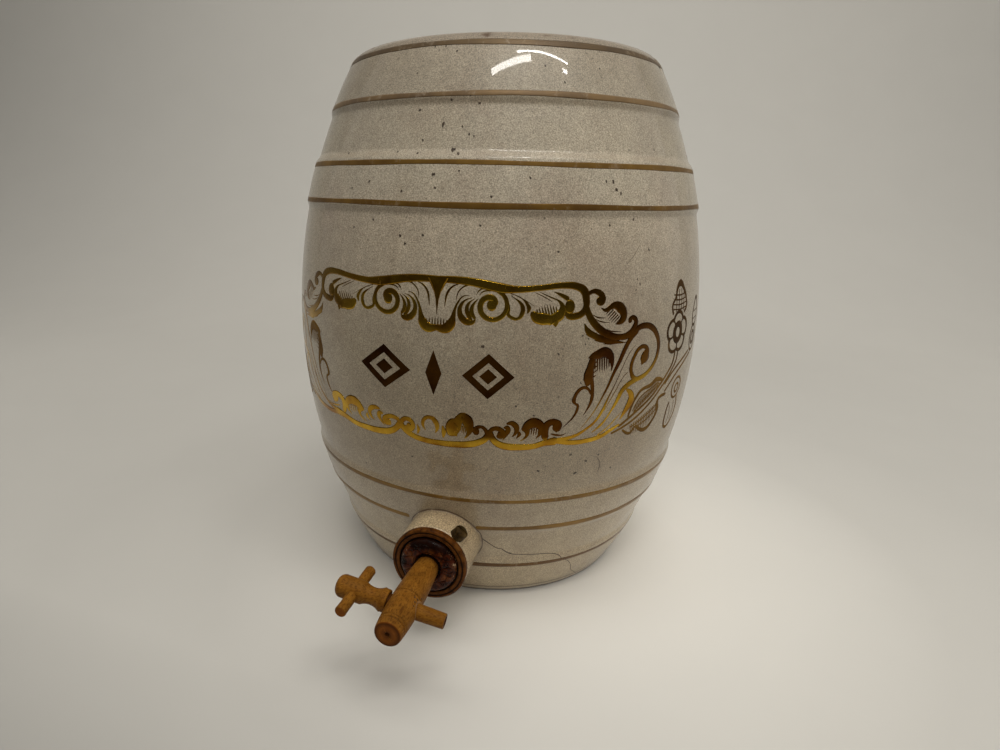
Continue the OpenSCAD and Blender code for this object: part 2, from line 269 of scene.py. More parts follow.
def footBands(tree, look, coords, height, colour):
    # a pale band of clay near the foot, between two dark lines
    waver = look["footUneven"] * mm
    uneven = calc(tree, "MULTIPLY_ADD", noiseMap(tree, coords, look["footCells"], 3), waver, -waver / 2)
    level = times(tree, calc(tree, "ADD", height, uneven), 1 / (look["footReach"] * mm))
    clay = ramp(tree, level, ((0.21, 0.0), (0.25, 0.6), (0.42, 0.5), (0.46, 0.0)))
    lineStops = ((0.19, 0.95), (0.23, 0.0), (0.45, 0.0), (0.48, 0.75), (0.57, 0.65), (0.62, 0.0))
    colour = mixColour(tree, clay, colour, look["clay"])
    return mixColour(tree, ramp(tree, level, lineStops), colour, look["bare"])


def glazeFinish(name, look):
    material, tree, shader = startMaterial(name)
    coords = objectCoords(tree)
    height = addNode(tree, "ShaderNodeSeparateXYZ", {"Vector": coords}).outputs["Z"]
    rise = times(tree, height, 1 / look["tall"])
    clouds = noiseMap(tree, coords, look["cloudCells"], 5, 0.62)
    colour = ramp(tree, clouds, ((0.36, look["grey"]), (0.62, look["cream"])))
    blush = noiseMap(tree, objectCoords(tree, (1, 1, 0.6)), look["blushCells"], 5, 0.66)
    colour = mixColour(tree, ramp(tree, blush, ((0.50, 0.0), (0.70, 0.55))), colour, look["blush"])
    streaks = noiseMap(tree, objectCoords(tree, look["streakCells"]), 1, 4, 0.65)
    colour = mixColour(tree, ramp(tree, streaks, ((0.54, 0.0), (0.80, 0.22))), colour, look["stainAndShade"])
    # painted light and shade by height, partly a greyer band round the middle
    colour = tinted(tree, colour, ramp(tree, rise, look["tintAndShadeByHeight"]))
    mottle = noiseMap(tree, coords, look["mottleCells"], 4, 0.7)
    colour = tinted(tree, colour, ramp(tree, mottle, ((0.3, 0.89), (0.7, 1.07))))
    grain = noiseMap(tree, coords, look["grainCells"], 2, 0.6)
    grainStops = ((0.32, look["grainDark"]), (0.68, look["grainPale"]))
    colour = tinted(tree, colour, ramp(tree, grain, grainStops))
    crackle = crackleLines(tree, coords, look["crackleCells"], look["crackleWidth"])
    most = look["crackleMost"]
    patch = noiseMap(tree, coords, look["patchCells"], 2)
    patch = ramp(tree, patch, ((0.40, look["crackleLeast"] * most), (0.68, most)))
    colour = mixColour(tree, times(tree, crackle, patch), colour, look["crackle"])
    flecks = noiseMap(tree, coords, look["fleckCells"], 4, 0.72)
    flecks = ramp(tree, flecks, ((0.53, 0.0), (0.72, look["fleckMost"])))
    lowSide = ramp(tree, rise, ((0.55, 1.0), (0.85, 0.45)))
    colour = mixColour(tree, times(tree, flecks, lowSide), colour, look["stainAndShade"])
    # dirt and painted shade beside the hoops, at the foot and round the boss, and a darkening low on the
    # side
    grimeAndShade = ramp(tree, noiseMap(tree, coords, look["grimeAndShadeCells"], 4, 0.7), ((0.3, 0.35), (0.7, 1.0)))
    grimeAndShade = times(tree, attributeValue(tree, "grimeAndShade"), grimeAndShade)
    colour = mixColour(tree, grimeAndShade, colour, look["stainAndShade"])
    # specks are thick in a few clouds, and near the top
    upper = calc(tree, "MULTIPLY_ADD", height, 2.0, 0.35, clamp=True)
    crowd = ramp(tree, noiseMap(tree, coords, look["crowdCells"], 3, 0.6), ((0.42, 0.2), (0.66, 1.0)))
    crowd = times(tree, crowd, upper)
    specks = times(tree, ironSpecks(tree, coords, look["speckCells"], 0.16, 0.16), crowd)
    pins = times(tree, ironSpecks(tree, coords, look["pinCells"], 0.20, 0.27), crowd)
    dots = calc(tree, "MAXIMUM", specks, times(tree, pins, 0.75))
    colour = mixColour(tree, dots, colour, look["speck"])
    colour = footBands(tree, look, coords, height, colour)
    chip = attributeValue(tree, "chip")
    colour = mixColour(tree, chip, colour, look["bare"])
    smears = noiseMap(tree, coords, look["smearCells"], 3, 0.6)
    rough = ramp(tree, smears, ((0.3, look["rough"]), (0.75, look["rough"] + 0.10)))
    rough = calc(tree, "ADD", rough, times(tree, chip, 0.5))
    ripple = noiseMap(tree, coords, look["rippleCells"], 2, 0.5)
    relief = calc(tree, "ADD", ripple, times(tree, grain, 0.05))
    hollows = calc(tree, "ADD", times(tree, dots, -0.25), times(tree, crackle, -0.05))
    relief = calc(tree, "ADD", relief, hollows)
    plug(tree, shader, {
        "Base Color": colour, "Roughness": rough, "Coat Weight": look["coat"],
        "Coat Roughness": look["coatRough"], "Normal": bumpNormal(tree, relief, 0.5, look["waveDepth"])})
    return material


giltLook = {
    "bright": (0.68, 0.425, 0.040), "deep": (0.31, 0.132, 0.010), "worn": (0.25, 0.18, 0.105),
    "shaded": (0.21, 0.14, 0.105), "metal": 1.0, "rough": 0.12, "shine": 0.5,
    "wornFrom": 0.68, "wornTo": 0.82, "toneCells": 38, "rubCells": 210, "areaCells": 17,
}
deviceLook = dict(giltLook, bright=(0.145, 0.058, 0.008), deep=(0.048, 0.015, 0.003))
# the hoops' lines are rubbed dull
lineLook = dict(giltLook, bright=(0.30, 0.19, 0.085), deep=(0.19, 0.125, 0.07), worn=(0.34, 0.27, 0.185),
                shaded=(0.58, 0.60, 0.64), metal=0.45, rough=0.34, wornFrom=0.58, wornTo=0.74)
lowLineLook = dict(lineLook, bright=(0.27, 0.150, 0.028), deep=(0.155, 0.080, 0.017),
                   worn=(0.27, 0.19, 0.105), shaded=(0.58, 0.46, 0.26))
sprayLook = dict(lineLook, bright=(0.225, 0.118, 0.021), deep=(0.110, 0.053, 0.009),
                 worn=(0.25, 0.16, 0.07), shaded=(0.34, 0.30, 0.26), metal=0.0, rough=0.5, shine=0.08)


def giltFinish(name, look):
    material, tree, shader = startMaterial(name)
    coords = objectCoords(tree)
    tone = noiseMap(tree, coords, look["toneCells"], 4, 0.6)
    colour = ramp(tree, tone, ((0.35, look["deep"]), (0.65, look["bright"])))
    # painted shade: a darker, browner copy of the gilding where the shade attribute says
    paintedShadeColour = tinted(tree, colour, look["shaded"])
    colour = mixColour(tree, attributeValue(tree, "shade"), colour, paintedShadeColour)
    rub = noiseMap(tree, objectCoords(tree, (1, 1, 0.6)), look["rubCells"], 5, 0.72)
    area = noiseMap(tree, coords, look["areaCells"], 2)
    wear = calc(tree, "ADD", times(tree, rub, 0.72), times(tree, area, 0.34))
    worn = ramp(tree, wear, ((look["wornFrom"], 0.0), (look["wornTo"], 1.0)))
    plug(tree, shader, {
        "Base Color": mixColour(tree, worn, colour, look["worn"]),
        "Metallic": calc(tree, "MULTIPLY_ADD", worn, -look["metal"], look["metal"]),
        "Roughness": ramp(tree, rub, ((0.3, look["rough"]), (0.7, look["rough"] + 0.16))),
        "Specular IOR Level": look["shine"], "Normal": bumpNormal(tree, rub, 0.35, 0.06)})
    return material


inkLook = {"cells": 600, "paler": 2.2}


def inkFinish(name, shade, rough):
    # dark line in a crack, spot or pinhole, with a broken tone
    material, tree, shader = startMaterial(name)
    tone = noiseMap(tree, objectCoords(tree), inkLook["cells"], 3)
    paler = tuple(inkLook["paler"] * part for part in shade)
    plug(tree, shader, {"Base Color": ramp(tree, tone, ((0.35, shade), (0.7, paler))), "Roughness": rough})
    return material


brassLook = {
    "metal": (0.112, 0.036, 0.005), "tarnish": (0.032, 0.010, 0.002), "crust": (0.130, 0.056, 0.010),
    "grimeAndShade": (0.010, 0.004, 0.002), "shine": 0.12, "metallic": 0.25, "cells": 240,
}
stubLook = dict(brassLook, metal=(0.052, 0.029, 0.008), crust=(0.105, 0.067, 0.024),
                tarnish=(0.020, 0.011, 0.004))


def brassFinish(name, look):
    material, tree, shader = startMaterial(name)
    tone = noiseMap(tree, objectCoords(tree), look["cells"], 5, 0.68)
    colour = ramp(tree, tone, ((0.36, look["tarnish"]), (0.54, look["metal"]), (0.74, look["crust"])))
    # darkened by dirt and painted shade where the ring's groove lies
    plug(tree, shader, {
        "Base Color": mixColour(tree, attributeValue(tree, "grimeAndShade"), colour, look["grimeAndShade"]),
        "Metallic": ramp(tree, tone, ((0.4, look["metallic"]), (0.62, 0.1))),
        "Roughness": ramp(tree, tone, ((0.3, 0.36), (0.7, 0.66))),
        "Specular IOR Level": look["shine"], "Normal": bumpNormal(tree, tone, 0.7, 0.25)})
    return material


waxLook = {
    "red": (0.048, 0.0085, 0.002), "rust": (0.150, 0.046, 0.009), "black": (0.006, 0.002, 0.0012),
    "dustAndHighlight": (0.40, 0.27, 0.15), "shine": 0.14, "toneCells": 150, "dustCells": 620, "grainCells": 420,
}


def waxFinish(name, look):
    material, tree, shader = startMaterial(name)
    coords = objectCoords(tree)
    tone = noiseMap(tree, coords, look["toneCells"], 5, 0.65)
    colour = ramp(tree, tone, ((0.38, look["black"]), (0.51, look["red"]), (0.66, look["rust"])))
    # black in the cracks and the split, a painted shadow round the tap, and black over the top
    colour = mixColour(tree, attributeValue(tree, "blackAndShadow"), colour, look["black"])
    # pale dust and a painted highlight on the shoulder, mostly to the right
    dustAndHighlightMask = ramp(tree, noiseMap(tree, coords, look["dustCells"], 3, 0.7), ((0.57, 0.0), (0.66, 1.0)))
    dustAndHighlightMask = times(tree, dustAndHighlightMask, attributeValue(tree, "crust"))
    grain = noiseMap(tree, coords, look["grainCells"], 4, 0.6)
    plug(tree, shader, {
        "Base Color": mixColour(tree, dustAndHighlightMask, colour, look["dustAndHighlight"]),
        "Roughness": ramp(tree, tone, ((0.3, 0.20), (0.7, 0.42))),
        "Specular IOR Level": look["shine"], "Normal": bumpNormal(tree, grain, 0.45, 0.2)})
    return material


woodLook = {
    "light": (0.240, 0.102, 0.013), "dark": (0.150, 0.054, 0.005), "pore": (0.065, 0.021, 0.003),
    "dirtAndShade": (0.042, 0.013, 0.002), "end": (0.200, 0.054, 0.004), "endShare": 0.78, "shine": 0.09,
    "ringGap": 0.9, "pith": (0.017, 0.011),
    "toneCells": 180, "poreCells": (1300, 1300, 480), "smudgeCells": 110,
}
wavePeriod = 0.314  # m between the wave pattern's rings at a scale of 1


def woodFinish(name, look, grainTurn, endCut=False):
    # grainTurn lays the object's grain along the pattern's Z
    material, tree, shader = startMaterial(name)
    coords = objectCoords(tree, turn=grainTurn, shift=(*look["pith"], 0))
    waveValues = {"Vector": coords, "Scale": wavePeriod / (look["ringGap"] * mm), "Distortion": 3.0,
                  "Detail": 3.0, "Detail Scale": 1.6, "Detail Roughness": 0.6}
    rings = addNode(tree, "ShaderNodeTexWave", waveValues, wave_type="RINGS", rings_direction="Z",
                    wave_profile="SIN").outputs["Fac"]
    broad = noiseMap(tree, coords, look["toneCells"], 3, 0.6)
    tone = calc(tree, "MULTIPLY_ADD", rings, 0.14, times(tree, broad, 0.86))
    colour = ramp(tree, tone, ((0.22, look["dark"]), (0.78, look["light"])))
    stretched = addNode(tree, "ShaderNodeMapping", {"Vector": coords, "Scale": look["poreCells"]})
    pores = noiseMap(tree, stretched.outputs["Vector"], 1, 3, 0.6)
    colour = mixColour(tree, ramp(tree, pores, ((0.47, 0.0), (0.66, 0.72))), colour, look["pore"])
    if endCut:
        colour = mixColour(tree, look["endShare"], colour, look["end"])
    smudge = noiseMap(tree, coords, look["smudgeCells"], 4, 0.65)
    colour = tinted(tree, colour, ramp(tree, smudge, ((0.3, 0.70), (0.7, 1.18))))
    relief = calc(tree, "SUBTRACT", times(tree, rings, 0.25), times(tree, pores, 0.7))
    # darkened by dirt and painted shade in grooves, splits, joints and hollows
    plug(tree, shader, {
        "Base Color": mixColour(tree, attributeValue(tree, "dirtAndShade"), colour, look["dirtAndShade"]),
        "Roughness": ramp(tree, pores, ((0.3, 0.46), (0.7, 0.66))),
        "Specular IOR Level": look["shine"], "Normal": bumpNormal(tree, relief, 0.35, 0.10)})
    return material


corkLook = {"pale": (0.26, 0.13, 0.04), "dark": (0.11, 0.045, 0.012), "cells": 600, "toneCells": 240}


def corkFinish(name, look):
    material, tree, shader = startMaterial(name)
    coords = objectCoords(tree)
    cell = cellMap(tree, coords, look["cells"]).outputs["Distance"]
    tone = calc(tree, "ADD", times(tree, cell, 0.6), noiseMap(tree, coords, look["toneCells"], 4, 0.65))
    plug(tree, shader, {
        "Base Color": ramp(tree, tone, ((0.55, look["dark"]), (0.85, look["pale"]))),
        "Roughness": ramp(tree, tone, ((0.4, 0.7), (0.9, 0.9))),
        "Normal": bumpNormal(tree, tone, 0.8, 0.3)})
    return material


keyTurnDeg = math.degrees(math.atan2(joints["key_turn"]["axis"][2], joints["key_turn"]["axis"][0]))
alongTap = (90, 0, 0)                # grain along Y
alongKey = (0, -90 - keyTurnDeg, 0)  # grain along the key
glaze = glazeFinish("crazedGlaze", glazeLook)
bossGlaze = glazeFinish("bossGlaze", bossGlazeLook)
gilt = giltFinish("wornGilding", giltLook)
deviceGilt = giltFinish("deviceGilding", deviceLook)
lineGilt = giltFinish("rubbedGilding", lineLook)
lowLineGilt = giltFinish("brownGilding", lowLineLook)
sprayGilt = giltFinish("dullGilding", sprayLook)
crackInk = inkFinish("crackDirt", (0.045, 0.030, 0.018), 0.6)
spotInk = inkFinish("ironSpot", (0.042, 0.029, 0.019), 0.4)
pinInk = inkFinish("pinholeDark", (0.012, 0.006, 0.003), 0.7)
brass = brassFinish("tarnishedBrass", brassLook)
stubBrass = brassFinish("corrodedBrass", stubLook)
wax = waxFinish("sealWax", waxLook)
tapWood = woodFinish("tapWood", woodLook, alongTap)
tapEnd = woodFinish("tapEndGrain", woodLook, alongTap, True)
keyWood = woodFinish("keyWood", woodLook, alongKey)
keyEnd = woodFinish("keyEndGrain", woodLook, alongKey, True)
cork = corkFinish("corkBung", corkLook)
print("finishes ready:", len(bpy.data.materials))


# the barrel's side, shared by all that lies on it

barrelSizes = {
    "bellyRadius": 150, "endRadius": 103, "wall": 9, "floor": 10,
    "hoops": ((-20, 33), (69, 91), (269, 291), (327, 380)),
    "proud": 1.8, "edgeInside": -1.2, "edgeOutside": 6.8, "wobble": 0.28,
    "rimRound": 5, "innerRound": 3, "footRound": 1.6, "cornerRound": 3, "mouthRound": 2,
    "recess": 14, "topPlate": 9, "mouth": 55, "topChamfer": (6, 4), "floorChamfer": (5, 8),
    "baseLoop": 60, "floorLoop": 45,  # radii of edge loops in the flats
    "levelStep": 3.0, "edgeStep": 0.6, "leastStep": 0.3, "insideSteps": 60, "turns": 288,
}
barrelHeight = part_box("barrel_body")[1].z / mm
midLevel = barrelHeight / 2
bow = barrelSizes["bellyRadius"] - barrelSizes["endRadius"]
bowRadius = (midLevel ** 2 + bow ** 2) / (2 * bow)


def bowAt(z):
    return barrelSizes["bellyRadius"] - bowRadius + math.sqrt(bowRadius ** 2 - (z - midLevel) ** 2)


def hoopAt(z):
    rise = 0
    span = barrelSizes["edgeInside"] + barrelSizes["edgeOutside"]
    for low, high in barrelSizes["hoops"]:
        outside = max(low - z, z - high)
        rise = max(rise, smoothStep((barrelSizes["edgeOutside"] - outside) / span))
    return barrelSizes["proud"] * rise


def wobbleAt(turn, z):
    # hand-finished side: a slow unevenness, always inwards
    waves = math.sin(2 * turn + z / 70) + math.sin(3 * turn - z / 45 + 1.3) + math.sin(5 * turn + z / 31)
    return barrelSizes["wobble"] * (0.5 + waves / 6)


def sideAt(turn, z):
    return bowAt(z) + hoopAt(z) - wobbleAt(turn, z)


def onSide(across, level, out=0.0):
    # across is mm along the belly from the tap's plane, level is mm above the base
    turn = across / barrelSizes["bellyRadius"]
    radius = sideAt(turn, level) + out
    return Vector((radius * math.sin(turn), -radius * math.cos(turn), level)) * mm


def sideLevels(low, high):
    levels = {low, high}
    count = round((high - low) / barrelSizes["levelStep"])
    levels.update(low + (high - low) * i / count for i in range(count + 1))
    for hoop in barrelSizes["hoops"]:
        for edge, sign in zip(hoop, (-1, 1)):
            reach = barrelSizes["edgeInside"] + barrelSizes["edgeOutside"]
            steps = round(reach / barrelSizes["edgeStep"])
            levels.update(edge + sign * (i * barrelSizes["edgeStep"] - barrelSizes["edgeInside"])
                          for i in range(steps + 1))
    kept = []
    for level in sorted(level for level in levels if low <= level <= high):
        if not kept or level - kept[-1] > barrelSizes["leastStep"]:
            kept.append(level)
    return kept


def barrelProfile():
    sizes = barrelSizes
    wall, floor, mouth = sizes["wall"], sizes["floor"], sizes["mouth"]
    rimR, footR, innerR = sizes["rimRound"], sizes["footRound"], sizes["innerRound"]
    cornerR, mouthR = sizes["cornerRound"], sizes["mouthRound"]
    topIn, topDrop = sizes["topChamfer"]
    floorIn, floorRise = sizes["floorChamfer"]
    topLevel = barrelHeight - sizes["recess"]
    under = topLevel - sizes["topPlate"]
    recessR = sizes["endRadius"] - wall
    quarter = [math.radians(9 * i) for i in range(11)]
    points = [(0, 0), (sizes["baseLoop"], 0)]
    for t in reversed(quarter):
        level = footR - footR * math.sin(t)
        points.append((bowAt(level) + hoopAt(level) - footR * (1 - math.cos(t)), level))
    points += [(bowAt(z) + hoopAt(z), z) for z in sideLevels(footR, barrelHeight - rimR)[1:]]
    for t in quarter[1:]:
        level = barrelHeight - rimR + rimR * math.sin(t)
        points.append((bowAt(level) + hoopAt(level) - rimR * (1 - math.cos(t)), level))
    points += arcPoints((recessR + innerR, barrelHeight - innerR), innerR, 90, 180, 6)
    points += arcPoints((recessR - cornerR, topLevel + cornerR), cornerR, 0, -90, 6)
    points += arcPoints((mouth + mouthR, topLevel - mouthR), mouthR, 90, 180, 5)
    points += arcPoints((mouth + mouthR, under + mouthR), mouthR, 180, 270, 5)
    points.append((bowAt(under) - wall - topIn, under))
    count = sizes["insideSteps"]
    high, low = under - topDrop, floor + floorRise
    levels = [high + (low - high) * i / count for i in range(count + 1)]
    points += [(bowAt(z) - wall, z) for z in levels]
    points += [(bowAt(floor) - wall - floorIn, floor), (sizes["floorLoop"], floor), (0, floor)]
    return points


# tap axis: Z of this frame runs out along the tap, Y up
tapLevel = joints["tap_twist"]["pos_m"][2] / mm
tapPlace = shifted(0, 0, tapLevel) @ turned(90, "X")
bossSizes = {
    "radius": 24, "root": 2.0, "edge": 1.6, "bore": 19.55, "wallHole": 16, "holeLong": 60, "ringThick": 4,
    "sunk": 2.0, "inset": 4, "skirt": 1.5, "rootSink": 0.25, "sideSteps": 12, "turns": 160,
}
bossWearAndShade = {  # share of the dirt and painted shade on the rim and at the base, its reach in mm, and the thin dark line at the root
    "rim": 0.35, "rimDeep": 2.2, "base": 0.7, "baseFrom": 1, "baseDeep": 4,
    "line": 0.7, "lineWaver": 0.3, "waverCells": 220, "ripple": 0.12, "rippleCells": 160,
}
ringFace = -joints["tap_twist"]["pos_m"][1] / mm
bossFace = ringFace - bossSizes["ringThick"]
wallOut = bowAt(tapLevel)

chipPlaces = (  # degrees from the tap's plane, mm above the base, reach, depth
    (76, 357.0, 6.5, 2.8), (7.3, 358.6, 3.6, 1.2), (25.6, 358.9, 2.2, 0.7), (33, 358.8, 2.2, 0.7),
    (-38, 358.6, 2.6, 0.8), (150, 358.4, 4.0, 1.5), (-120, 358.8, 3.0, 1.0), (95, 2.0, 4.0, 1.2),
    (-70, 1.8, 3.0, 1.0),
)
# share of the dirt and painted shade beside the hoops, at the foot and round the boss, of the darkening low
# on the side, and their reach in mm
barrelWearAndShade = {
    "fillet": 0.35, "foot": 0.6, "footTall": 9, "root": 0.85, "rootFrom": 1, "rootWide": 7,
    "lower": 0.22, "lowerFrom": 130, "lowerFade": 60,
    "chipRagged": 0.5, "chipCells": 900, "chipDrop": 0.7, "chipBare": 2.2,
}


def barrelShell():
    bm = lathe(barrelProfile(), barrelSizes["turns"])
    grimeAndShade = bm.verts.layers.float.new("grimeAndShade")
    chip = bm.verts.layers.float.new("chip")
    wear = barrelWearAndShade
    chips = [(onSide(math.radians(deg) * barrelSizes["bellyRadius"], level), reach * mm, depth * mm)
             for deg, level, reach, depth in chipPlaces]
    for vert in bm.verts:
        level = vert.co.z / mm
        flat = Vector((vert.co.x, vert.co.y, 0))
        radius = flat.length / mm
        outside = radius > bowAt(min(max(level, 0), barrelHeight)) - 0.55 * barrelSizes["wall"]
        turn = math.atan2(vert.co.x, -vert.co.y)
        if outside:
            vert.co -= flat.normalized() * wobbleAt(turn, level) * mm
        for place, reach, depth in chips:
            ragged = 1 + wear["chipRagged"] * noise.noise(vert.co * wear["chipCells"])
            gap = (vert.co - place).length * ragged
            if outside and gap < reach:
                share = 1 - smoothStep(gap / reach)
                vert.co -= flat.normalized() * depth * share
                vert.co.z -= depth * share * math.copysign(wear["chipDrop"], level - midLevel)
                vert[chip] = max(vert[chip], min(1, wear["chipBare"] * share))
        # dirt and painted shade beside the hoops, at the foot and round the boss, and darker low on the
        # side
        hoop = hoopAt(level) / barrelSizes["proud"]
        fillet = 4 * hoop * (1 - hoop) if outside else 0
        foot = smoothStep((wear["footTall"] - level) / wear["footTall"]) if outside else 0
        side = vert.co - Vector((0, -wallOut * mm, tapLevel * mm))
        beyond = side.length / mm - bossSizes["radius"] - wear["rootFrom"]
        root = 1 - smoothStep(beyond / wear["rootWide"])
        lower = smoothStep((wear["lowerFrom"] - level) / wear["lowerFade"]) if outside else 0
        vert[grimeAndShade] = max(wear["fillet"] * fillet, wear["foot"] * foot, wear["root"] * root,
                          wear["lower"] * lower)
    hole = rod(bossSizes["wallHole"], bossSizes["holeLong"], tapPlace @ shifted(0, 0, wallOut), 64)
    return cutAway(bm, hole)


addPiece("barrelShell", barrelShell(), glaze, "barrel", ("barrel_body",), 55)


def tapBoss():
    radius, root, edge = bossSizes["radius"], bossSizes["root"], bossSizes["edge"]
    inside, skirt = wallOut - bossSizes["inset"], radius + root + bossSizes["skirt"]
    points = [(bossSizes["bore"], inside), (skirt, inside), (skirt, wallOut - bossSizes["sunk"])]
    for i in range(11):
        t = math.radians(9 * i)
        out = wallOut + root * (1 - math.cos(t)) - bossSizes["rootSink"]
        points.append((radius + root * (1 - math.sin(t)), out))
    rise = bossFace - edge - wallOut - root
    steps = bossSizes["sideSteps"]
    points += [(radius, wallOut + root + rise * i / steps) for i in range(1, steps)]
    points += arcPoints((radius - edge, bossFace - edge), edge, 0, 90, 8)
    points.append((bossSizes["bore"], bossFace))
    bm = lathe(points, bossSizes["turns"], True)
    grimeAndShade = bm.verts.layers.float.new("grimeAndShade")
    chip = bm.verts.layers.float.new("chip")
    for vert in bm.verts:
        out = vert.co.z / mm
        across, up = vert.co.x / mm, vert.co.y / mm
        level = tapLevel + up
        turn = math.asin(across / wallOut)
        side = math.sqrt(sideAt(turn, level) ** 2 - across ** 2)
        weight = 1 - smoothStep((out - wallOut - root) / rise)
        vert.co.z += (side - wallOut) * weight * mm
        # dirt and painted shade near the front rim and round the root
        rim = smoothStep((out - bossFace + bossWearAndShade["rimDeep"]) / bossWearAndShade["rimDeep"])
        base = 1 - smoothStep((out - wallOut - bossWearAndShade["baseFrom"]) / bossWearAndShade["baseDeep"])
        vert[grimeAndShade] = max(bossWearAndShade["rim"] * rim, bossWearAndShade["base"] * base)
        # dirt fills the corner at the root as a thin dark line
        waver = bossWearAndShade["lineWaver"] * noise.noise(vert.co * bossWearAndShade["waverCells"])
        vert[chip] = 1 - smoothStep((out - wallOut - bossSizes["rootSink"] - waver) / bossWearAndShade["line"])
        ripple = bossWearAndShade["ripple"] * mm * noise.noise(vert.co * bossWearAndShade["rippleCells"])
        vert.co.z += ripple * (1 - rim)
    bm.transform(tapPlace)
    return bm


addPiece("tapBoss", tapBoss(), bossGlaze, "barrel", ("barrel_body",), 55)
print("barrel and boss made")


# lid, hidden below the rim in the photo

lidSizes = {
    "radius": 67, "step": 54, "stepDrop": 4, "stepRound": 1.5, "thick": 7, "rise": 4, "domeSteps": 16,
    "neck": 9, "neckFoot": 4, "neckRound": 3.5, "neckUp": 3.3, "knob": 16, "knobUp": 4, "turns": 160,
    "dirtAndShade": 0.7, "dirtAndShadeOut": 1.5, "dirtAndShadeWide": 4,  # round the foot of the neck
}


def lidCover():
    low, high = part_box("lid")
    bottom, top = low.z / mm, high.z / mm
    seat = bottom + lidSizes["stepDrop"]
    edge, neck, step = lidSizes["thick"] / 2, lidSizes["neck"], lidSizes["step"]
    stepR, neckR = lidSizes["stepRound"], lidSizes["neckRound"]
    flat = lidSizes["radius"] - edge
    crown = seat + lidSizes["thick"] + lidSizes["rise"]
    points = [(0, bottom), (step - stepR, bottom)]
    points += arcPoints((step - stepR, bottom + stepR), stepR, -90, 0, 4)
    points += [(step, seat), (flat, seat)]
    points += arcPoints((flat, seat + edge), edge, -90, 90, 14)
    steps = lidSizes["domeSteps"]
    dome = [flat + (neck + lidSizes["neckFoot"] - flat) * i / steps for i in range(1, steps + 1)]
    points += [(r, crown - lidSizes["rise"] * (r / flat) ** 2) for r in dome]
    points += arcPoints((neck + neckR, crown + lidSizes["neckUp"]), neckR, 270, 180, 6)
    knobMid = (top + crown + lidSizes["knobUp"]) / 2
    half = top - knobMid
    points += arcPoints((lidSizes["knob"] - half, knobMid), half, -78, 90, 16)
    points.append((0, top))
    bm = lathe(points, lidSizes["turns"])
    grimeAndShade = bm.verts.layers.float.new("grimeAndShade")
    bm.verts.layers.float.new("chip")
    for vert in bm.verts:
        radius = math.hypot(vert.co.x, vert.co.y) / mm
        # dirt and painted shade round the foot of the neck
        dirtAndShade = 1 - smoothStep(abs(radius - neck - lidSizes["dirtAndShadeOut"]) / lidSizes["dirtAndShadeWide"])
        vert[grimeAndShade] = lidSizes["dirtAndShade"] * dirtAndShade if vert.co.z / mm > crown - 1 else 0
    return bm


addPiece("lidCover", lidCover(), glaze, "lid", ("lid",), 50)
print("lid made")


# gilding: brush strokes of (across, level from the middle, width) in mm, laid on the side

gildSizes = {
    "flatness": 0.028, "lift": 0.028, "stepsPerPoint": 6, "sides": 2,
    "frameBold": 1.16, "garlandBold": 1.6, "sprayBold": 1.9, "railBold": 1.2,
    "tipFrom": 0.9, "tipTo": 6,
    "tips": ((0.28, 0.72), (0.44, 0.15)),  # reach and width of a tip's points, in widths of the end
}


def ball(across, level, radius):
    turns = [math.radians(18 * i) for i in range(11)]
    return tuple((across - radius * math.cos(t), level, max(0.1, 2 * radius * math.sin(t))) for t in turns)


def scroll(centre, outer, inner, startDeg, sweepDeg, widths, tall=1.0, points=12):
    made = []
    for i in range(points + 1):
        share = i / points
        turn = math.radians(startDeg + sweepDeg * share)
        radius = outer + (inner - outer) * share ** 2.2
        width = widths[0] + (widths[1] - widths[0]) * share
        across = centre[0] + radius * math.cos(turn)
        level = centre[1] + tall * radius * math.sin(turn)
        made.append((across, level, width))
    return tuple(made)


def comb(first, last, count, reach, width=0.8):
    # tapered ticks between two base points, all leaning the same way
    ticks = []
    for i in range(count):
        share = i / max(1, count - 1)
        across = first[0] + (last[0] - first[0]) * share
        level = first[1] + (last[1] - first[1]) * share
        tall = 0.75 + 0.25 * math.sin(math.pi * share)
        middle = (across + reach[0] * 0.6, level + reach[1] * 0.6, width * 0.7)
        tip = (across + reach[0] * tall, level + reach[1] * tall, 0.15)
        ticks.append(((across, level, width), middle, tip))
    return ticks


topRail = [
    ((0, 49, 2.6), (10, 49, 3), (19, 48.4, 3.3), (28, 47, 3.8), (36.5, 45.5, 4), (45, 45, 2.8),
     (58, 45.9, 2.4), (72, 47.2, 2.6), (79.5, 46.5, 3.1), (84, 44, 3.6), (85.4, 39.5, 3.3),
     (85.5, 35.5, 2.8), (83.5, 32, 2.9), (79, 30.2, 3), (75, 30.4, 2.6), (73.2, 32.6, 1.4)),
    ball(75.6, 35.5, 3),
]
fanHalf = [
    ((12.6, 47, 0.3), (9, 45.5, 0.9), (6, 42, 1.2), (4.9, 37.6, 0.8), (4.6, 34, 0.2)),
    ((23.5, 46.7, 0.3), (17.5, 46.5, 0.8), (13.7, 44.4, 0.7), (11.7, 41.4, 0.6), (11.2, 38, 0.2)),
    ((18.2, 41, 0.2), (15.1, 40.4, 0.6), (12.2, 37, 1), (10.5, 33, 1.4), (9.6, 28.7, 2.6), (8.3, 24.8, 5),
     (5.4, 22, 5), (0, 22.2, 3)),
]
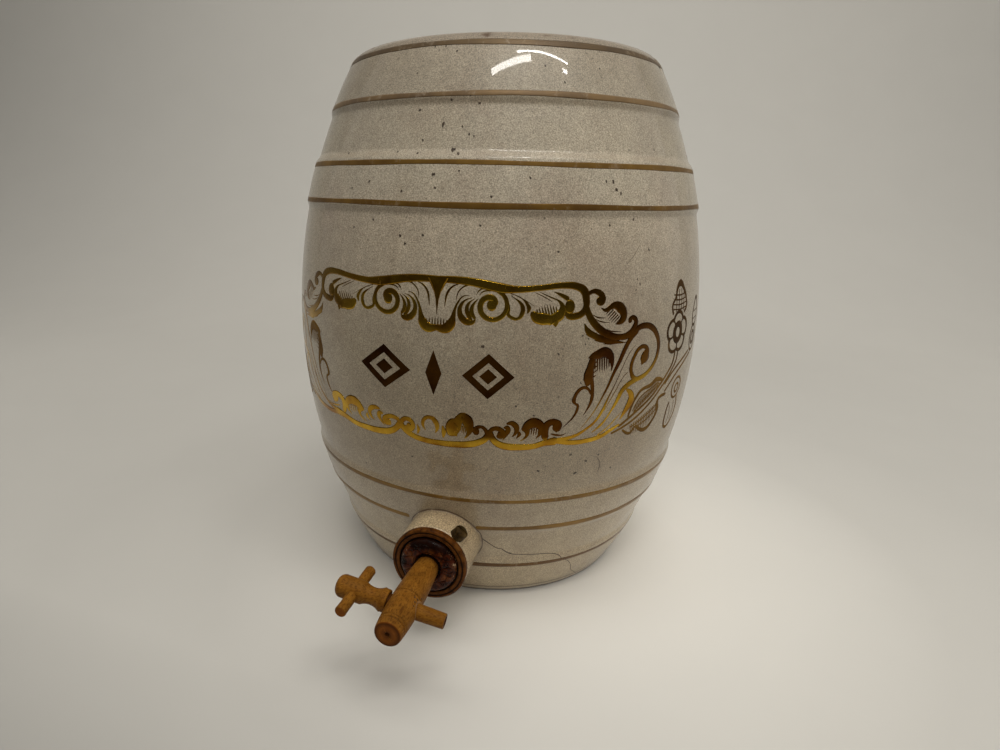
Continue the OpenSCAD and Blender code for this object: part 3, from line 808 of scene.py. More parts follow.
clawFeathers = [
    ((20.4, 39.8, 0.2), (16.5, 38.4, 0.8), (13.9, 35.3, 1.8), (13.3, 31.9, 2.4), (14.8, 28.3, 3.3),
     (17.8, 26.3, 3.3), (20.8, 26.4, 2.2), (22.5, 28, 0.4)),
    ((22, 39.4, 0.2), (19.6, 38, 0.7), (17.9, 35.9, 1.6), (17.3, 33, 2.1), (18.3, 30, 2.1),
     (20, 27.6, 1.4)),
    ((23.8, 39.5, 0.2), (21.7, 37.3, 1), (20.3, 34.8, 1.8), (20, 32.2, 2.3), (20.6, 30.4, 2.2),
     (21.8, 28.8, 1.6)),
]
mainScroll = [
    scroll((31.2, 36), 8.6, 2.3, 68, -392, (2, 3.3)),
    ball(31.2, 36.1, 2.8),
    ((30.4, 45.3, 0.8), (26.2, 44.9, 0.7), (23.7, 43.6, 0.6), (22.5, 41.5, 0.2)),
    ((34, 44.2, 1), (29.2, 44, 0.8), (25.8, 43.1, 0.6), (24.2, 41.2, 0.2)),
]
loopLeaf = [
    ((39, 41.2, 0.3), (40.4, 38, 0.5), (41, 34.2, 1.1), (40.6, 31.2, 1.7), (42.5, 29.6, 1.7),
     (45.9, 29.1, 1.5), (48.2, 31.8, 2.3), (48.4, 35.5, 2.1), (46.8, 38, 1.3), (44.2, 40, 0.5),
     (41.6, 41.7, 0.2)),
    ((44, 42.1, 0.2), (48.5, 39.7, 0.6), (51.1, 36.8, 1.7), (52, 34.7, 2.2), (51.3, 32.4, 0.9)),
    ((39.8, 43.4, 0.3), (47.2, 40.6, 0.4), (55.5, 35.8, 0.2)),
]
combLeaf = [
    ((54.5, 31.5, 3), (56.5, 29.8, 4.6), (60, 29, 5), (64, 28.6, 4.2), (66.8, 27.4, 4.5),
     (67.6, 24.4, 0.3)),
    ((66.5, 29, 4.2), (69.8, 31.2, 4.4), (71.2, 34.9, 2.6), (69.8, 38, 1.3), (67, 39.8, 0.2)),
    ((57.9, 43.6, 0.2), (63.2, 41.3, 0.5), (69, 39, 0.7)),
    ((55.2, 43.4, 0.2), (60.5, 41, 0.4), (65, 38.6, 0.2)),
    ((66, 43.8, 0.2), (69.9, 42.2, 1.4), (73.9, 40.1, 2)),
    *comb((57.5, 30), (68.5, 31.5), 8, (-1.6, 6)),
]
cornerScroll = [
    ((86.4, 42.2, 2), (89.6, 43.6, 2.2), (92.8, 43.1, 3), (95.5, 41, 3.4), (96.4, 38.3, 2.7),
     (94.9, 36.6, 2.2), (93, 37.2, 1.6)),
    ball(93.7, 38.1, 2),
    ((85.6, 35.5, 2.8), (87.4, 30.8, 3.4), (90.8, 25.9, 3.8), (95.9, 21.4, 3.9), (102.9, 17.7, 3.8),
     (110.2, 16.5, 3.3), (115.6, 17.5, 3.8), (119.7, 21.5, 3.4), (120.8, 24.8, 3), (118.8, 27.2, 2.6),
     (116.2, 27, 2.2)),
    ball(116.1, 26, 1.6),
    ((95.2, 34.1, 0.4), (98.1, 32.8, 2), (101.4, 34.2, 2.6), (104.2, 35.2, 3.6), (108.2, 33.8, 5.4),
     (111, 29.9, 4.6), (110.4, 26.7, 4), (108.3, 25, 2), (105.4, 24.3, 0.3)),
    ((90, 30.4, 0.2), (93.3, 28.9, 0.8), (98.3, 28.4, 0.2)),
    ((91.2, 28.3, 0.2), (95.6, 26.4, 0.7), (101.3, 25.6, 0.2)),
    ((99.2, 21.9, 0.2), (103.3, 20.4, 0.7), (109.9, 19.9, 0.2)),
    *comb((102, 33.6), (109, 27.6), 7, (-4.6, -4), 0.8),
]
taperedDashes = [
    ((84.8, 25.9, 0.5), (87, 21.7, 3), (91.7, 18.5, 3.4), (99.4, 15.7, 3), (107.4, 13.9, 1.6),
     (114.3, 12.9, 0.2)),
    ((85.8, 19.8, 0.3), (88.6, 19, 1.8), (93, 17.8, 2.4), (97, 16.4, 1.4)),
    ((91.6, 15.9, 0.3), (95.4, 15.6, 2), (101, 14.6, 2), (106, 14, 0.8)),
    ((97.8, 13.4, 0.3), (102.5, 13.5, 1.6), (108, 13.3, 1), (112, 12.9, 0.3)),
]
ovalScroll = [
    ((116.4, 16.4, 3), (122, 20.2, 3.2), (128.1, 21.6, 3.3), (135, 19.9, 3.4), (140.4, 14.7, 3.2),
     (142.8, 9.5, 3), (143, 3.8, 2.8), (140.6, -2.5, 2.7), (135.7, -7.6, 2.7), (129.2, -10.5, 2.9),
     (124.2, -10.6, 2.8), (120.6, -6.4, 2.4), (120, -1, 2.5), (121.8, 3.9, 2.4), (125, 8, 2.4),
     (129.4, 8.9, 2.5), (132.6, 6.2, 2.6), (132.6, 2.6, 2.4)),
    ((131.6, 6.6, 2.6), (131.3, 4.6, 5.2), (130.8, 2.2, 6.8), (129.8, 0.2, 5.6), (128.8, -1.8, 1.6)),
    ((122.5, 18.5, 2), (118, 15.5, 3), (113.9, 9.5, 2.9), (110.6, 2.4, 2.6), (107, -4.7, 2),
     (104, -12, 1.6), (100.6, -19.3, 1.1), (96.5, -27.2, 0.7), (92, -33.7, 0.4), (88, -39, 0.2)),
    ((129.2, -10.5, 2.6), (124, -11.7, 3.3), (119.4, -13.5, 3.3), (115, -16.8, 3.2), (112.9, -21.8, 2),
     (111.6, -25, 0.4)),
]
acanthus = [
    ((88.6, 5.8, 0.7), (91.6, 6.7, 3.6), (95.2, 7.5, 5.2), (99.3, 8.4, 5.7), (103, 6.3, 4.5),
     (104.7, 2.5, 2.9), (105.1, -1.2, 1.3), (104.8, -3.7, 0.2)),
    ((91.2, 4.6, 3.4), (90.4, 0.1, 4.3), (89.8, -3.9, 5.8), (89.7, -7.3, 5.8), (89.5, -9.6, 3.5)),
    ((91.4, -6.2, 2.7), (92.6, -10.7, 2.3), (93.3, -15.2, 2.1), (93.3, -19.7, 2.1), (91.9, -24.4, 1.4),
     (90.2, -27.5, 0.7), (88.8, -30, 0.2)),
    *comb((93, 4.4), (102.4, 5), 7, (0.8, -8.4), 1.0),
    *comb((91.6, 1.4), (91.4, -7), 4, (4.2, 2.8), 0.9),
    ((92.2, -16.4, 0.9), (90.2, -13.1, 1.5), (87.4, -12, 1.8), (84.3, -13.5, 2.1), (82.3, -16.8, 2.1),
     (81.7, -19.9, 2.4), (82.9, -21.8, 1.2), (84.3, -22.7, 1.5), (84.3, -26, 1.7), (82.5, -30.1, 1.2),
     (79.6, -33.5, 0.7), (76.4, -36.6, 0.2)),
]
stems = [
    ((122, 10.9, 0.2), (116.7, 5, 0.4), (112.5, -3.4, 0.4), (108.6, -12.5, 0.5), (104.7, -20.8, 1.1),
     (102, -27.9, 1.9), (97.6, -34.9, 1.6), (91.9, -39.3, 1.6), (84.7, -43.1, 2.1), (72.5, -45, 2.8)),
    ((117.5, -5.7, 0.4), (114.3, -8.4, 0.4), (110.2, -15.6, 0.5), (106.6, -22, 0.5), (103.2, -28.5, 0.3)),
    ((114.5, -20.6, 0.3), (109.8, -27.4, 0.5), (106.2, -33, 1.1), (102, -38, 1.7), (96.6, -42, 0.4)),
    ((117.7, -30.7, 0.3), (113.5, -34.6, 0.6), (108.6, -39.5, 0.7), (101.4, -44.2, 1)),
    ((118.7, -16.8, 1.4), (122.6, -20.2, 3.6), (123.4, -24.6, 5.2), (121.6, -28.4, 4.4),
     (118.9, -32.5, 2.6), (116.6, -36.2, 0.6)),
    ((112.6, -17.5, 0.5), (112.4, -21.5, 2.6), (110.6, -25.6, 2.2), (107.6, -30.4, 0.9), (105, -34, 0.3)),
    ((116.5, -39.8, 1.2), (110.4, -42.6, 2.4), (104, -45.6, 2.8), (93.2, -47.3, 3), (82.7, -47.3, 3),
     (72.5, -45.3, 3)),
]
flowerCentre = (165.5, 12.6)
petalTurns = [math.radians(90 + 72 * i) for i in range(5)]
gapTurns = [math.radians(54 + 72 * i) for i in range(5)]


def aroundFlower(turn, wide, tall):
    return flowerCentre[0] + wide * math.cos(turn), flowerCentre[1] + tall * math.sin(turn)


sideSpray = [
    # cross-hatched bud over a five-petalled flower
    ((157.5, 25.4, 1), (156.2, 30.5, 1), (160, 35, 1), (162.6, 41.5, 1.5), (166.3, 43.6, 2.4),
     (171, 40.3, 1.5), (176, 33, 1.2), (176.8, 28, 1.2), (173.5, 25, 1)),
    *[((157.5, v, 0.45), (166.5, v - 0.8, 0.5), (175.5, v, 0.45)) for v in (28, 31, 34, 37)],
    *[((u, 40, 0.45), (u + 0.4, 33, 0.5), (u + 0.2, 26, 0.45)) for u in (161, 164.5, 168, 171.5)],
    *[scroll(aroundFlower(t, 7.2, 6.6), 6.6, 6.6, math.degrees(t) - 78, 156, (1.2, 1.2))
      for t in petalTurns],
    *[((*aroundFlower(t, 5, 5), 0.9), (*aroundFlower(t, 10.6, 10.2), 0.7)) for t in gapTurns],
    scroll((165.5, 12.8), 4.6, 4.6, 0, 360, (2.2, 2.2), 1.15),
    # stalks, hatched leaves, and the second flower that leans outwards
    ((164.3, 0, 1), (163, -6.5, 1), (157.6, -12.7, 1), (150.4, -19.3, 1), (142.7, -25.8, 1),
     (131.7, -32.4, 1), (117, -41, 1)),
    ((168.6, -1, 0.9), (167.7, -6, 0.9), (164.3, -10.4, 0.9), (153.5, -20.6, 0.9), (141, -31, 0.9),
     (126, -40, 0.9), (112, -45, 0.8)),
    ((189.6, -3.7, 0.9), (177, -8, 0.9), (165, -13.4, 0.9), (157, -19.6, 0.9)),
    ((194, -6, 0.9), (181, -11, 0.9), (168.5, -17.4, 0.9), (158.5, -25, 0.9)),
    ((152, -16, 1.2), (145.5, -14.7, 1.7), (140.5, -17.3, 1.5), (131.6, -19.3, 1.2), (127.6, -23.6, 1.1),
     (125, -29, 1), (123.5, -35.5, 0.8)),
    ((159.5, -27.3, 1.2), (151.5, -29.5, 1.4), (153, -37, 1.4), (149, -44.6, 1.3), (143.2, -48.5, 1.7),
     (135.6, -46.2, 1.2), (132.8, -44, 0.9), (128, -48, 1.2), (121, -44.5, 0.8)),
    *comb((128, -33), (148, -20), 16, (1.6, 8), 0.5),
    ((126.5, -32.5, 0.4), (129.5, -26.5, 0.5), (134, -22.5, 0.5), (141.5, -19.6, 0.5), (148, -17.2, 0.4)),
    ((127, -34.8, 0.4), (132, -29, 0.5), (138, -24.5, 0.5), (144.5, -20.8, 0.5), (150, -17.8, 0.4)),
    *comb((127, -42.5), (151, -31.5), 18, (3.4, -9), 0.5),
    ((127, -44, 0.4), (138, -39.5, 0.5), (144, -36.5, 0.5), (151, -32.5, 0.4)),
    ((130, -45, 0.4), (138, -43, 0.5), (145, -40, 0.5), (152, -35.5, 0.4)),
    scroll((176.5, -26.5), 7.2, 7.2, 60, 360, (0.9, 0.9)),
    scroll((177, -27), 3, 3, 0, 360, (0.9, 0.9)),
    ((169, -36, 1), (167.5, -43, 1), (171.5, -54.5, 1.2), (181.5, -51, 1.1), (184, -41, 1),
     (181, -34, 0.8)),
    ((171, -38, 0.4), (174, -45, 0.5), (173, -52, 0.3)),
    ((177, -36, 0.4), (179, -43, 0.5), (177, -51, 0.3)),
    # outer spray, seen edge on in the photo
    scroll((197, 4), 7, 7, -100, 360, (1, 1), 1.25),
    scroll((197, 4.4), 3.2, 3.2, 0, 360, (1.2, 1.2), 1.3),
    ((194, 13, 0.9), (192.5, 19, 0.9), (196, 27, 0.9), (201, 31, 1.4), (205, 26, 0.9), (205.5, 18, 0.9),
     (201, 12.6, 0.9)),
    ((195, 22, 0.4), (204.5, 22.6, 0.4)),
    ((194, 17, 0.4), (205, 17.6, 0.4)),
]
garlandHalf = [
    ((72, -45.4, 3.6), (65.6, -46.4, 2.7), (58.8, -48.4, 2.5), (51, -48.8, 2.8), (43, -48.4, 3),
     (37.7, -46.7, 2.9), (34.5, -43.9, 2.6), (32.1, -39.6, 2.8)),
    ((65.9, -42.4, 2.8), (65.2, -38.5, 3.2), (66, -34.8, 3.1), (68.5, -32.8, 2.8), (71.4, -33, 2.9),
     (73.4, -34.8, 3.1), (72.9, -37.1, 3.3)),
    ball(71.9, -35.6, 2.1),
    ((69.2, -40.3, 0.5), (73, -41.4, 0.9), (76.7, -41.6, 0.5), (78.8, -40.6, 0.2)),
    ((31.8, -42.4, 1.8), (32.6, -38.4, 1.8), (35.1, -36.5, 1.9), (38.2, -37, 2.1), (40.3, -39.4, 2.1),
     (39.8, -41.5, 1.9), (37.7, -41.5, 2)),
    ball(38.2, -40.7, 1.5),
    ((52.8, -36.5, 2.5), (54.6, -34.6, 3.8), (57.4, -32.9, 4.5), (60.9, -33.5, 3.9), (63.1, -36.2, 2.9),
     (62.9, -39.2, 1.7), (60.3, -43.1, 0.3)),
    ((53.7, -36.7, 2.4), (54.8, -39.7, 1.7), (53.6, -42.4, 0.9), (50.6, -44.7, 0.2)),
    *comb((56, -36.6), (61.6, -36.8), 5, (-0.3, -4.4), 0.6),
    ((42.6, -33.1, 1), (45.1, -32.8, 2.1), (47.5, -34.5, 2.3), (48.3, -36.8, 2), (47.5, -39.7, 1.3),
     (45.7, -41.8, 0.3)),
    ((41.1, -35.8, 1), (42.4, -35.8, 2.1), (43.1, -37.8, 2.1), (42.2, -40.6, 1.2), (40.1, -44.1, 0.2)),
    ((49.8, -38.5, 0.7), (50, -40, 1.6), (48.3, -42.9, 0.3)),
]
garlandMiddle = [
    ((32.1, -39.6, 2.8), (29.9, -43.4, 2.6), (25.8, -46.1, 2.9), (19.5, -48, 3), (11.5, -48.8, 2.8),
     (3.5, -49, 2.6), (-8, -48.5, 2.4), (-17, -46.4, 2.5), (-21.8, -43.4, 2.5), (-24.4, -39.6, 2.8)),
    ((30.9, -40.1, 1.7), (29.4, -37.2, 1.5), (27, -35.8, 1.3), (24.6, -36.6, 1.7), (23.3, -38.5, 1.8),
     (24.3, -39.9, 2.2)),
    ball(24.6, -38.9, 1.6),
    scroll((-19.4, -40.2), 4.4, 2, 170, -300, (2, 2.1)), ball(-18.6, -40.8, 1.6),
    ((13.9, -30.2, 2.1), (16, -29.7, 3.1), (18.3, -31.8, 4.6), (19.7, -34.8, 4), (20.3, -38, 2.9),
     (19.3, -41.3, 1.4), (17.3, -44.2, 0.3)),
    ((12.1, -33, 2.6), (10.3, -34.6, 4.2), (9.7, -37.5, 5.4), (10.3, -40.7, 5.1), (12, -42.3, 1.5)),
    ((13.7, -31.5, 3.3), (13.6, -35, 2.6), (13.2, -39.3, 1.6), (12.3, -42.3, 0.4)),
    *comb((15, -35.6), (18, -36.8), 4, (-0.4, -5), 0.6),
    ((-7.4, -41.5, 0.3), (-9, -37.6, 1.4), (-7.2, -33.6, 1.6), (-3.9, -32.6, 1.6), (-0.7, -35, 2.3),
     (0.3, -38.9, 1.7), (-0.9, -42.6, 0.3)),
    ((3.9, -37.6, 0.9), (4.4, -41.2, 2), (4, -44.8, 0.6)),
    ((-12.6, -38.6, 0.5), (-12, -41.6, 1.5), (-12.8, -45, 0.4)),
]
centreStrokes = [
    ((0, 49.6, 12), (0, 46, 7.6), (0, 41.6, 3.4), (0, 37.5, 1.6), (0, 29.5, 0.2)),
    *comb((-6, 22.8), (6, 22.8), 8, (0, 5.6), 0.9),
]
mirrorStretch = {"from": 30, "share": 0.13}     # the far half runs a little wide
garlandStretch = {"back": 22.3, "share": 1.46}  # and so does its garland


def mirrorHalf(strokes):
    start, share = mirrorStretch["from"], mirrorStretch["share"]
    return [[(-u - share * max(0, u - start), v, w) for u, v, w in stroke] for stroke in strokes]


def mirrorGarland(strokes):
    back, share = garlandStretch["back"], garlandStretch["share"]
    return [[(back - share * u, v, w) for u, v, w in stroke] for stroke in strokes]


def strokeTip(end, before):
    # a wide end of a brush stroke is closed by a short rounded tip
    if not gildSizes["tipFrom"] < end[2] < gildSizes["tipTo"]:
        return []
    way = Vector((end[0] - before[0], end[1] - before[1])).normalized() * end[2]
    return [(end[0] + out * way.x, end[1] + out * way.y, wide * end[2]) for out, wide in gildSizes["tips"]]


def roundEnds(stroke):
    return [*reversed(strokeTip(*stroke[:2])), *stroke, *strokeTip(*stroke[:-3:-1])]


def strokeMesh(name, strokes):
    curve = bpy.data.curves.new(name, "CURVE")
    curve.dimensions = "3D"
    curve.twist_mode = "Z_UP"
    curve.bevel_depth = 0.5 * mm
    curve.bevel_resolution = gildSizes["sides"]
    curve.use_fill_caps = True
    for stroke in map(roundEnds, strokes):
        spline = curve.splines.new("BEZIER")
        spline.resolution_u = gildSizes["stepsPerPoint"]
        spline.bezier_points.add(len(stroke) - 1)
        for point, (across, level, width) in zip(spline.bezier_points, stroke):
            point.co = (across * mm, level * mm, 0)
            point.handle_left_type = point.handle_right_type = "AUTO"
            point.radius = width
    drawn = linkNew(name, curve)
    graph = bpy.context.evaluated_depsgraph_get()
    mesh = bpy.data.meshes.new_from_object(drawn.evaluated_get(graph))
    bpy.data.objects.remove(drawn)
    bpy.data.curves.remove(curve)
    return mesh


def wrapOnSide(mesh, lift, flatness, shadeAt=None):
    # shadeAt gives how much painted shade, a darker browner gilding, lies at a place
    shade = mesh.attributes.new("shade", "FLOAT", "POINT") if shadeAt else None
    for i, vert in enumerate(mesh.vertices):
        across, level, out = vert.co / mm
        vert.co = onSide(across, midLevel + level, lift + flatness * out)
        if shadeAt:
            shade.data[i].value = shadeAt(across, level)
    return mesh


def bolder(strokes, share):
    return [[(u, v, w * share) for u, v, w in stroke] for stroke in strokes]


def frameShade(across, level):
    # painted shade to the right above the bright stems, less at the upper left, and a little on the far
    # left
    drop = 34 - 0.5 * max(0, across - 100)
    right = smoothStep((across - 55) / 50) * smoothStep((level + drop) / 18)
    leftTop = smoothStep((-across - 55) / 30) * smoothStep((level - 5) / 20)
    return max(right, 0.7 * leftTop, 0.2 * smoothStep((-across - 60) / 60))


def sprayShade(across, level):
    # the flowers are darker than the leaves
    return smoothStep((level + 14) / 18)


def garlandShade(across, level):
    # painted shade to the right, above the bright lower rail
    return smoothStep(across / 25) * smoothStep((level + 46) / 4)


def gildPiece(name, strokes, finish, shadeAt=None):
    mesh = wrapOnSide(strokeMesh(name, strokes), gildSizes["lift"], gildSizes["flatness"], shadeAt)
    return dressPiece(name, mesh, finish, "barrel", sharpDeg=180)


halfStrokes = bolder(topRail + combLeaf, gildSizes["railBold"])
halfStrokes += fanHalf + clawFeathers + mainScroll + loopLeaf
halfStrokes += cornerScroll + taperedDashes + ovalScroll + stems
frameStrokes = halfStrokes + mirrorHalf(halfStrokes) + centreStrokes
garlandStrokes = garlandHalf + mirrorGarland(garlandHalf) + garlandMiddle
sprayStrokes = sideSpray + mirrorHalf(sideSpray)
gildPiece("cartoucheGilding", bolder(frameStrokes, gildSizes["frameBold"]), gilt, frameShade)
# painted shade: the right acanthus takes the dark device finish
gildPiece("acanthusGilding", bolder(acanthus, gildSizes["frameBold"]), deviceGilt)
gildPiece("leftAcanthusGilding", bolder(mirrorHalf(acanthus), gildSizes["frameBold"]), sprayGilt)
gildPiece("garlandGilding", bolder(garlandStrokes, gildSizes["garlandBold"]), gilt, garlandShade)
gildPiece("sprayGilding", bolder(sprayStrokes, gildSizes["sprayBold"]), sprayGilt, sprayShade)
print("cartouche made")

# plain device inside the frame: three lozenges, each a centre, half a width and half a height
lozengeSizes = {
    "places": ((-34, -4.5, 18, 13.5), (-1.5, -4.5, 5, 13.5), (30.5, -4.5, 15, 13.5)),
    "band": 4.0, "core": 0.34, "cuts": 10, "thick": 0.0015, "lift": 0.06, "flatness": 40,
}


def lozengeMesh():
    bm = bmesh.new()
    band, core = lozengeSizes["band"], lozengeSizes["core"]
    for across, level, halfWide, halfTall in lozengeSizes["places"]:
        place = shifted(across, level, 0) @ Matrix.Diagonal((halfWide, halfTall, 1, 1))
        made = bmesh.ops.create_circle(bm, cap_ends=True, segments=4, radius=mm, matrix=place)
        if halfWide > 2 * band:
            face = made["verts"][0].link_faces[0]
            bmesh.ops.inset_region(
                bm, faces=[face], use_boundary=True, use_even_offset=True, thickness=band * mm)
            bmesh.ops.delete(bm, geom=[face], context="FACES_ONLY")
            inner = place @ Matrix.Diagonal((core, core, 1, 1))
            bmesh.ops.create_circle(bm, cap_ends=True, segments=4, radius=mm, matrix=inner)
    bmesh.ops.triangulate(bm, faces=bm.faces)
    bmesh.ops.subdivide_edges(bm, edges=bm.edges, cuts=lozengeSizes["cuts"], use_grid_fill=True)
    bm.normal_update()
    bmesh.ops.reverse_faces(bm, faces=[face for face in bm.faces if face.normal.z < 0])
    bmesh.ops.solidify(bm, geom=bm.faces[:], thickness=lozengeSizes["thick"] * mm)
    return wrapOnSide(meshFrom("lozengeGilding", bm), lozengeSizes["lift"], lozengeSizes["flatness"])


dressPiece("lozengeGilding", lozengeMesh(), deviceGilt, "barrel", sharpDeg=60)

# gilt lines along the hoops
seam = 471  # mm across from the tap's plane to the back
hoopLines = (  # level, width, first and last across, share of painted shade; the lowest two stop at the boss
    (31.8, 3.6, 20, 925, 0.9), (68.6, 3.6, 25.5, 914, 0.15), (91.4, 3.1, -seam, seam, 0.15),
    (268.3, 3.1, -seam, seam, 0.35), (290.4, 2.8, -seam, seam, 0.0), (326.3, 3.0, -seam, seam, 0.2),
    (353.7, 3.2, -seam, seam, 1.0),
)
lineSizes = {"pointGap": 16, "endGap": 1.5, "upperFrom": 5}
lineEnd = ball(914, -111, 1.6)  # blob where the second line stops


def lineShade(across, level):
    nearest = min(hoopLines, key=lambda line: abs(line[0] - midLevel - level))
    return nearest[4]


def lineStroke(level, width, first, last):
    count = round((last - first) / lineSizes["pointGap"])
    start, run = first + lineSizes["endGap"], last - first - 2 * lineSizes["endGap"]
    places = [first, *(start + run * i / count for i in range(count + 1)), last]
    points = []
    for across in places:
        waver = 0.18 * math.sin(across / 23 + level) + 0.14 * math.sin(across / 61 + 2 * level)
        wide = width * (1 + 0.12 * math.sin(across / 37 + 3 * level) + 0.08 * math.sin(across / 11))
        points.append((across, level - midLevel + waver, wide))
    return points


lineStrokes = [lineStroke(*line[:4]) for line in hoopLines]
gildPiece("topHoopGilding", lineStrokes[lineSizes["upperFrom"]:], lineGilt, lineShade)
gildPiece("hoopGilding", lineStrokes[:lineSizes["upperFrom"]] + [lineEnd], lowLineGilt, lineShade)
print("gilt lines made")


# cracks, scratches and iron spots in the glaze

crackStrokes = (
    ((23.5, -118, 1.1), (29.5, -123, 0.9), (35, -127.2, 0.8), (41, -131.3, 0.7), (44, -131.8, 0.7),
     (48.3, -135, 0.8), (52, -137, 0.7), (60, -138.1, 0.6), (70.5, -139, 0.6), (82, -139.8, 0.65),
     (89, -141, 0.6), (95.5, -143.4, 0.6), (98.5, -146.4, 0.5)),
    ((104, -149.8, 0.4), (107, -151.6, 0.5), (112, -156, 0.5), (115, -160, 0.55), (119, -166, 0.5),
     (126, -171, 0.5), (133, -175.5, 0.4)),
    ((50.5, -136, 1.0), (52.5, -137, 1.0)),
    ((110, -93, 0.2), (117, -88, 0.35), (124, -84, 0.2)),
    ((-95, 18, 0.2), (-95.5, -6, 0.3), (-95, -22, 0.2)),
    ((113, 58, 0.2), (119, 63, 0.3), (124, 69, 0.2)),
    ((104, -60, 0.3), (108, -67, 0.5), (107, -72, 0.3)),
)
spotPlaces = (  # across, level from the middle, width, height
    (-12, 172, 1.2, 1), (-2, 169, 1.3, 1.1), (-21, 172, 1, 1.2), (-31, 158, 1, 1.3), (63, 161, 1.2, 1.2),
    (76, 153, 1.2, 1.5), (106, 162, 1, 1), (-1, 143, 1.4, 1.2), (12, 145, 1.2, 1), (18, 141, 1.5, 1.3),
    (-24, 138, 1.6, 1.3), (-5, 130, 1.6, 3.2), (-18, 122, 1.5, 1.3), (8, 129, 1.2, 1.4),
    (13, 125, 1, 1.6), (16, 124, 1, 1.2), (4, 117, 2.6, 1.2), (7, 115, 1.8, 1.2), (-20, 115, 1.4, 1),
    (-35, 116, 1.2, 1), (-82, 116, 1.4, 1.2), (-7, 104, 2.2, 1.2), (-5, 97, 1.4, 1.2),
    (-27, 95, 1.4, 1.3), (-53, 100, 1.5, 1.4), (-68, 96, 1.1, 1.3), (9, 106, 1.2, 1), (29, 93, 1.4, 1.2),
    (51, 103, 1.2, 1.3), (104, 102, 1.5, 2.2), (106, 98, 1.6, 2), (109, 96, 1.2, 1.7),
    (99, 102, 1.1, 1.6), (-47, 79, 1.2, 1.4), (-63, 74, 1.2, 1.5), (-26, 71, 1.5, 1.9),
    (-11, 72, 1.4, 1.3), (-22, 67, 1.7, 1.2), (23, 78, 1.2, 1.3), (101, 79, 1.3, 1.5),
    (119, 82, 1.2, 1.6), (68, 65, 1.2, 1.1), (131, 65, 1, 2), (47, -22, 1.1, 1.4), (58, -28, 1.2, 1),
    (85, -9, 1, 1.3), (70, 9, 1.3, 1), (27, 13, 1.8, 1.5), (-18, -62, 1.4, 1.1), (64, -66, 1.8, 1.2),
    (90, -70, 2, 1.2), (118, -71, 1.4, 1.1), (123, 46, 0.9, 1.7), (120, 43, 0.8, 1.2),
    (121, 49, 0.7, 1.6), (84, 19, 1.2, 0.9), (88, 17, 1, 0.8), (86, 14, 0.9, 1), (84, -56, 1.7, 0.7),
    (96, -62, 2, 0.7), (105, -59, 1.3, 0.7), (-60, -78, 1.2, 1), (220, 120, 1.7, 1.5),
    (250, 60, 1.6, 1.8), (300, -20, 1.5, 1.2), (-220, 40, 1.6, 1.3), (-300, 95, 1.9, 1.5),
    (380, 10, 1.6, 1.2), (-400, -60, 1.5, 1.3), (430, 130, 1.7, 1.4), (-350, 140, 1.4, 1.6),
    (330, 150, 1.2, 1.4), (-250, 150, 1.3, 1.1), (410, 90, 1.4, 1.2), (-180, 110, 1.2, 1.3),
)
flawSizes = {"lift": 0.02, "flatness": 0.05}


def spot(across, level, wide, tall):
    # a ragged, leaning blot
    lean = 0.35 * math.sin(across)
    made = []
    for i in range(9):
        share = i / 4 - 1
        ragged = 1 + 0.25 * math.sin(5 * across + 4 * share)
        aside = lean * share * tall / 2 + 0.12 * wide * math.sin(level + 3 * share)
        width = ragged * wide * math.sqrt(1 - share * share)
        made.append((across + aside, level + share * tall / 2, max(0.1, width)))
    return made


def flawPiece(name, strokes, ink):
    mesh = wrapOnSide(strokeMesh(name, strokes), flawSizes["lift"], flawSizes["flatness"])
    return dressPiece(name, mesh, ink, "barrel", sharpDeg=180)


flawPiece("glazeCracks", crackStrokes, crackInk)
flawPiece("ironSpots", [spot(*place) for place in spotPlaces], spotInk)
print("cracks and spots made")


# collar ring, screw stub and wax round the tap

collarSizes = {
    "outer": 24, "outerRound": 1.5, "line": 21.7, "lineRound": 0.6, "bead": 18.9, "groove": 2.4,
    "bore": 18.05, "sleeve": 19.45, "sleeveLength": 24, "seatGap": 0.02, "backIn": 0.25, "turns": 160,
    "dirtAndShadeIn": 1.6, "dirtAndShadeFrom": 0.15, "dirtAndShadeDeep": 0.5,
    "dentFrom": 1.4, "dentCells": (95, 260), "dentDeep": 0.16, "dentIn": 0.12,
}


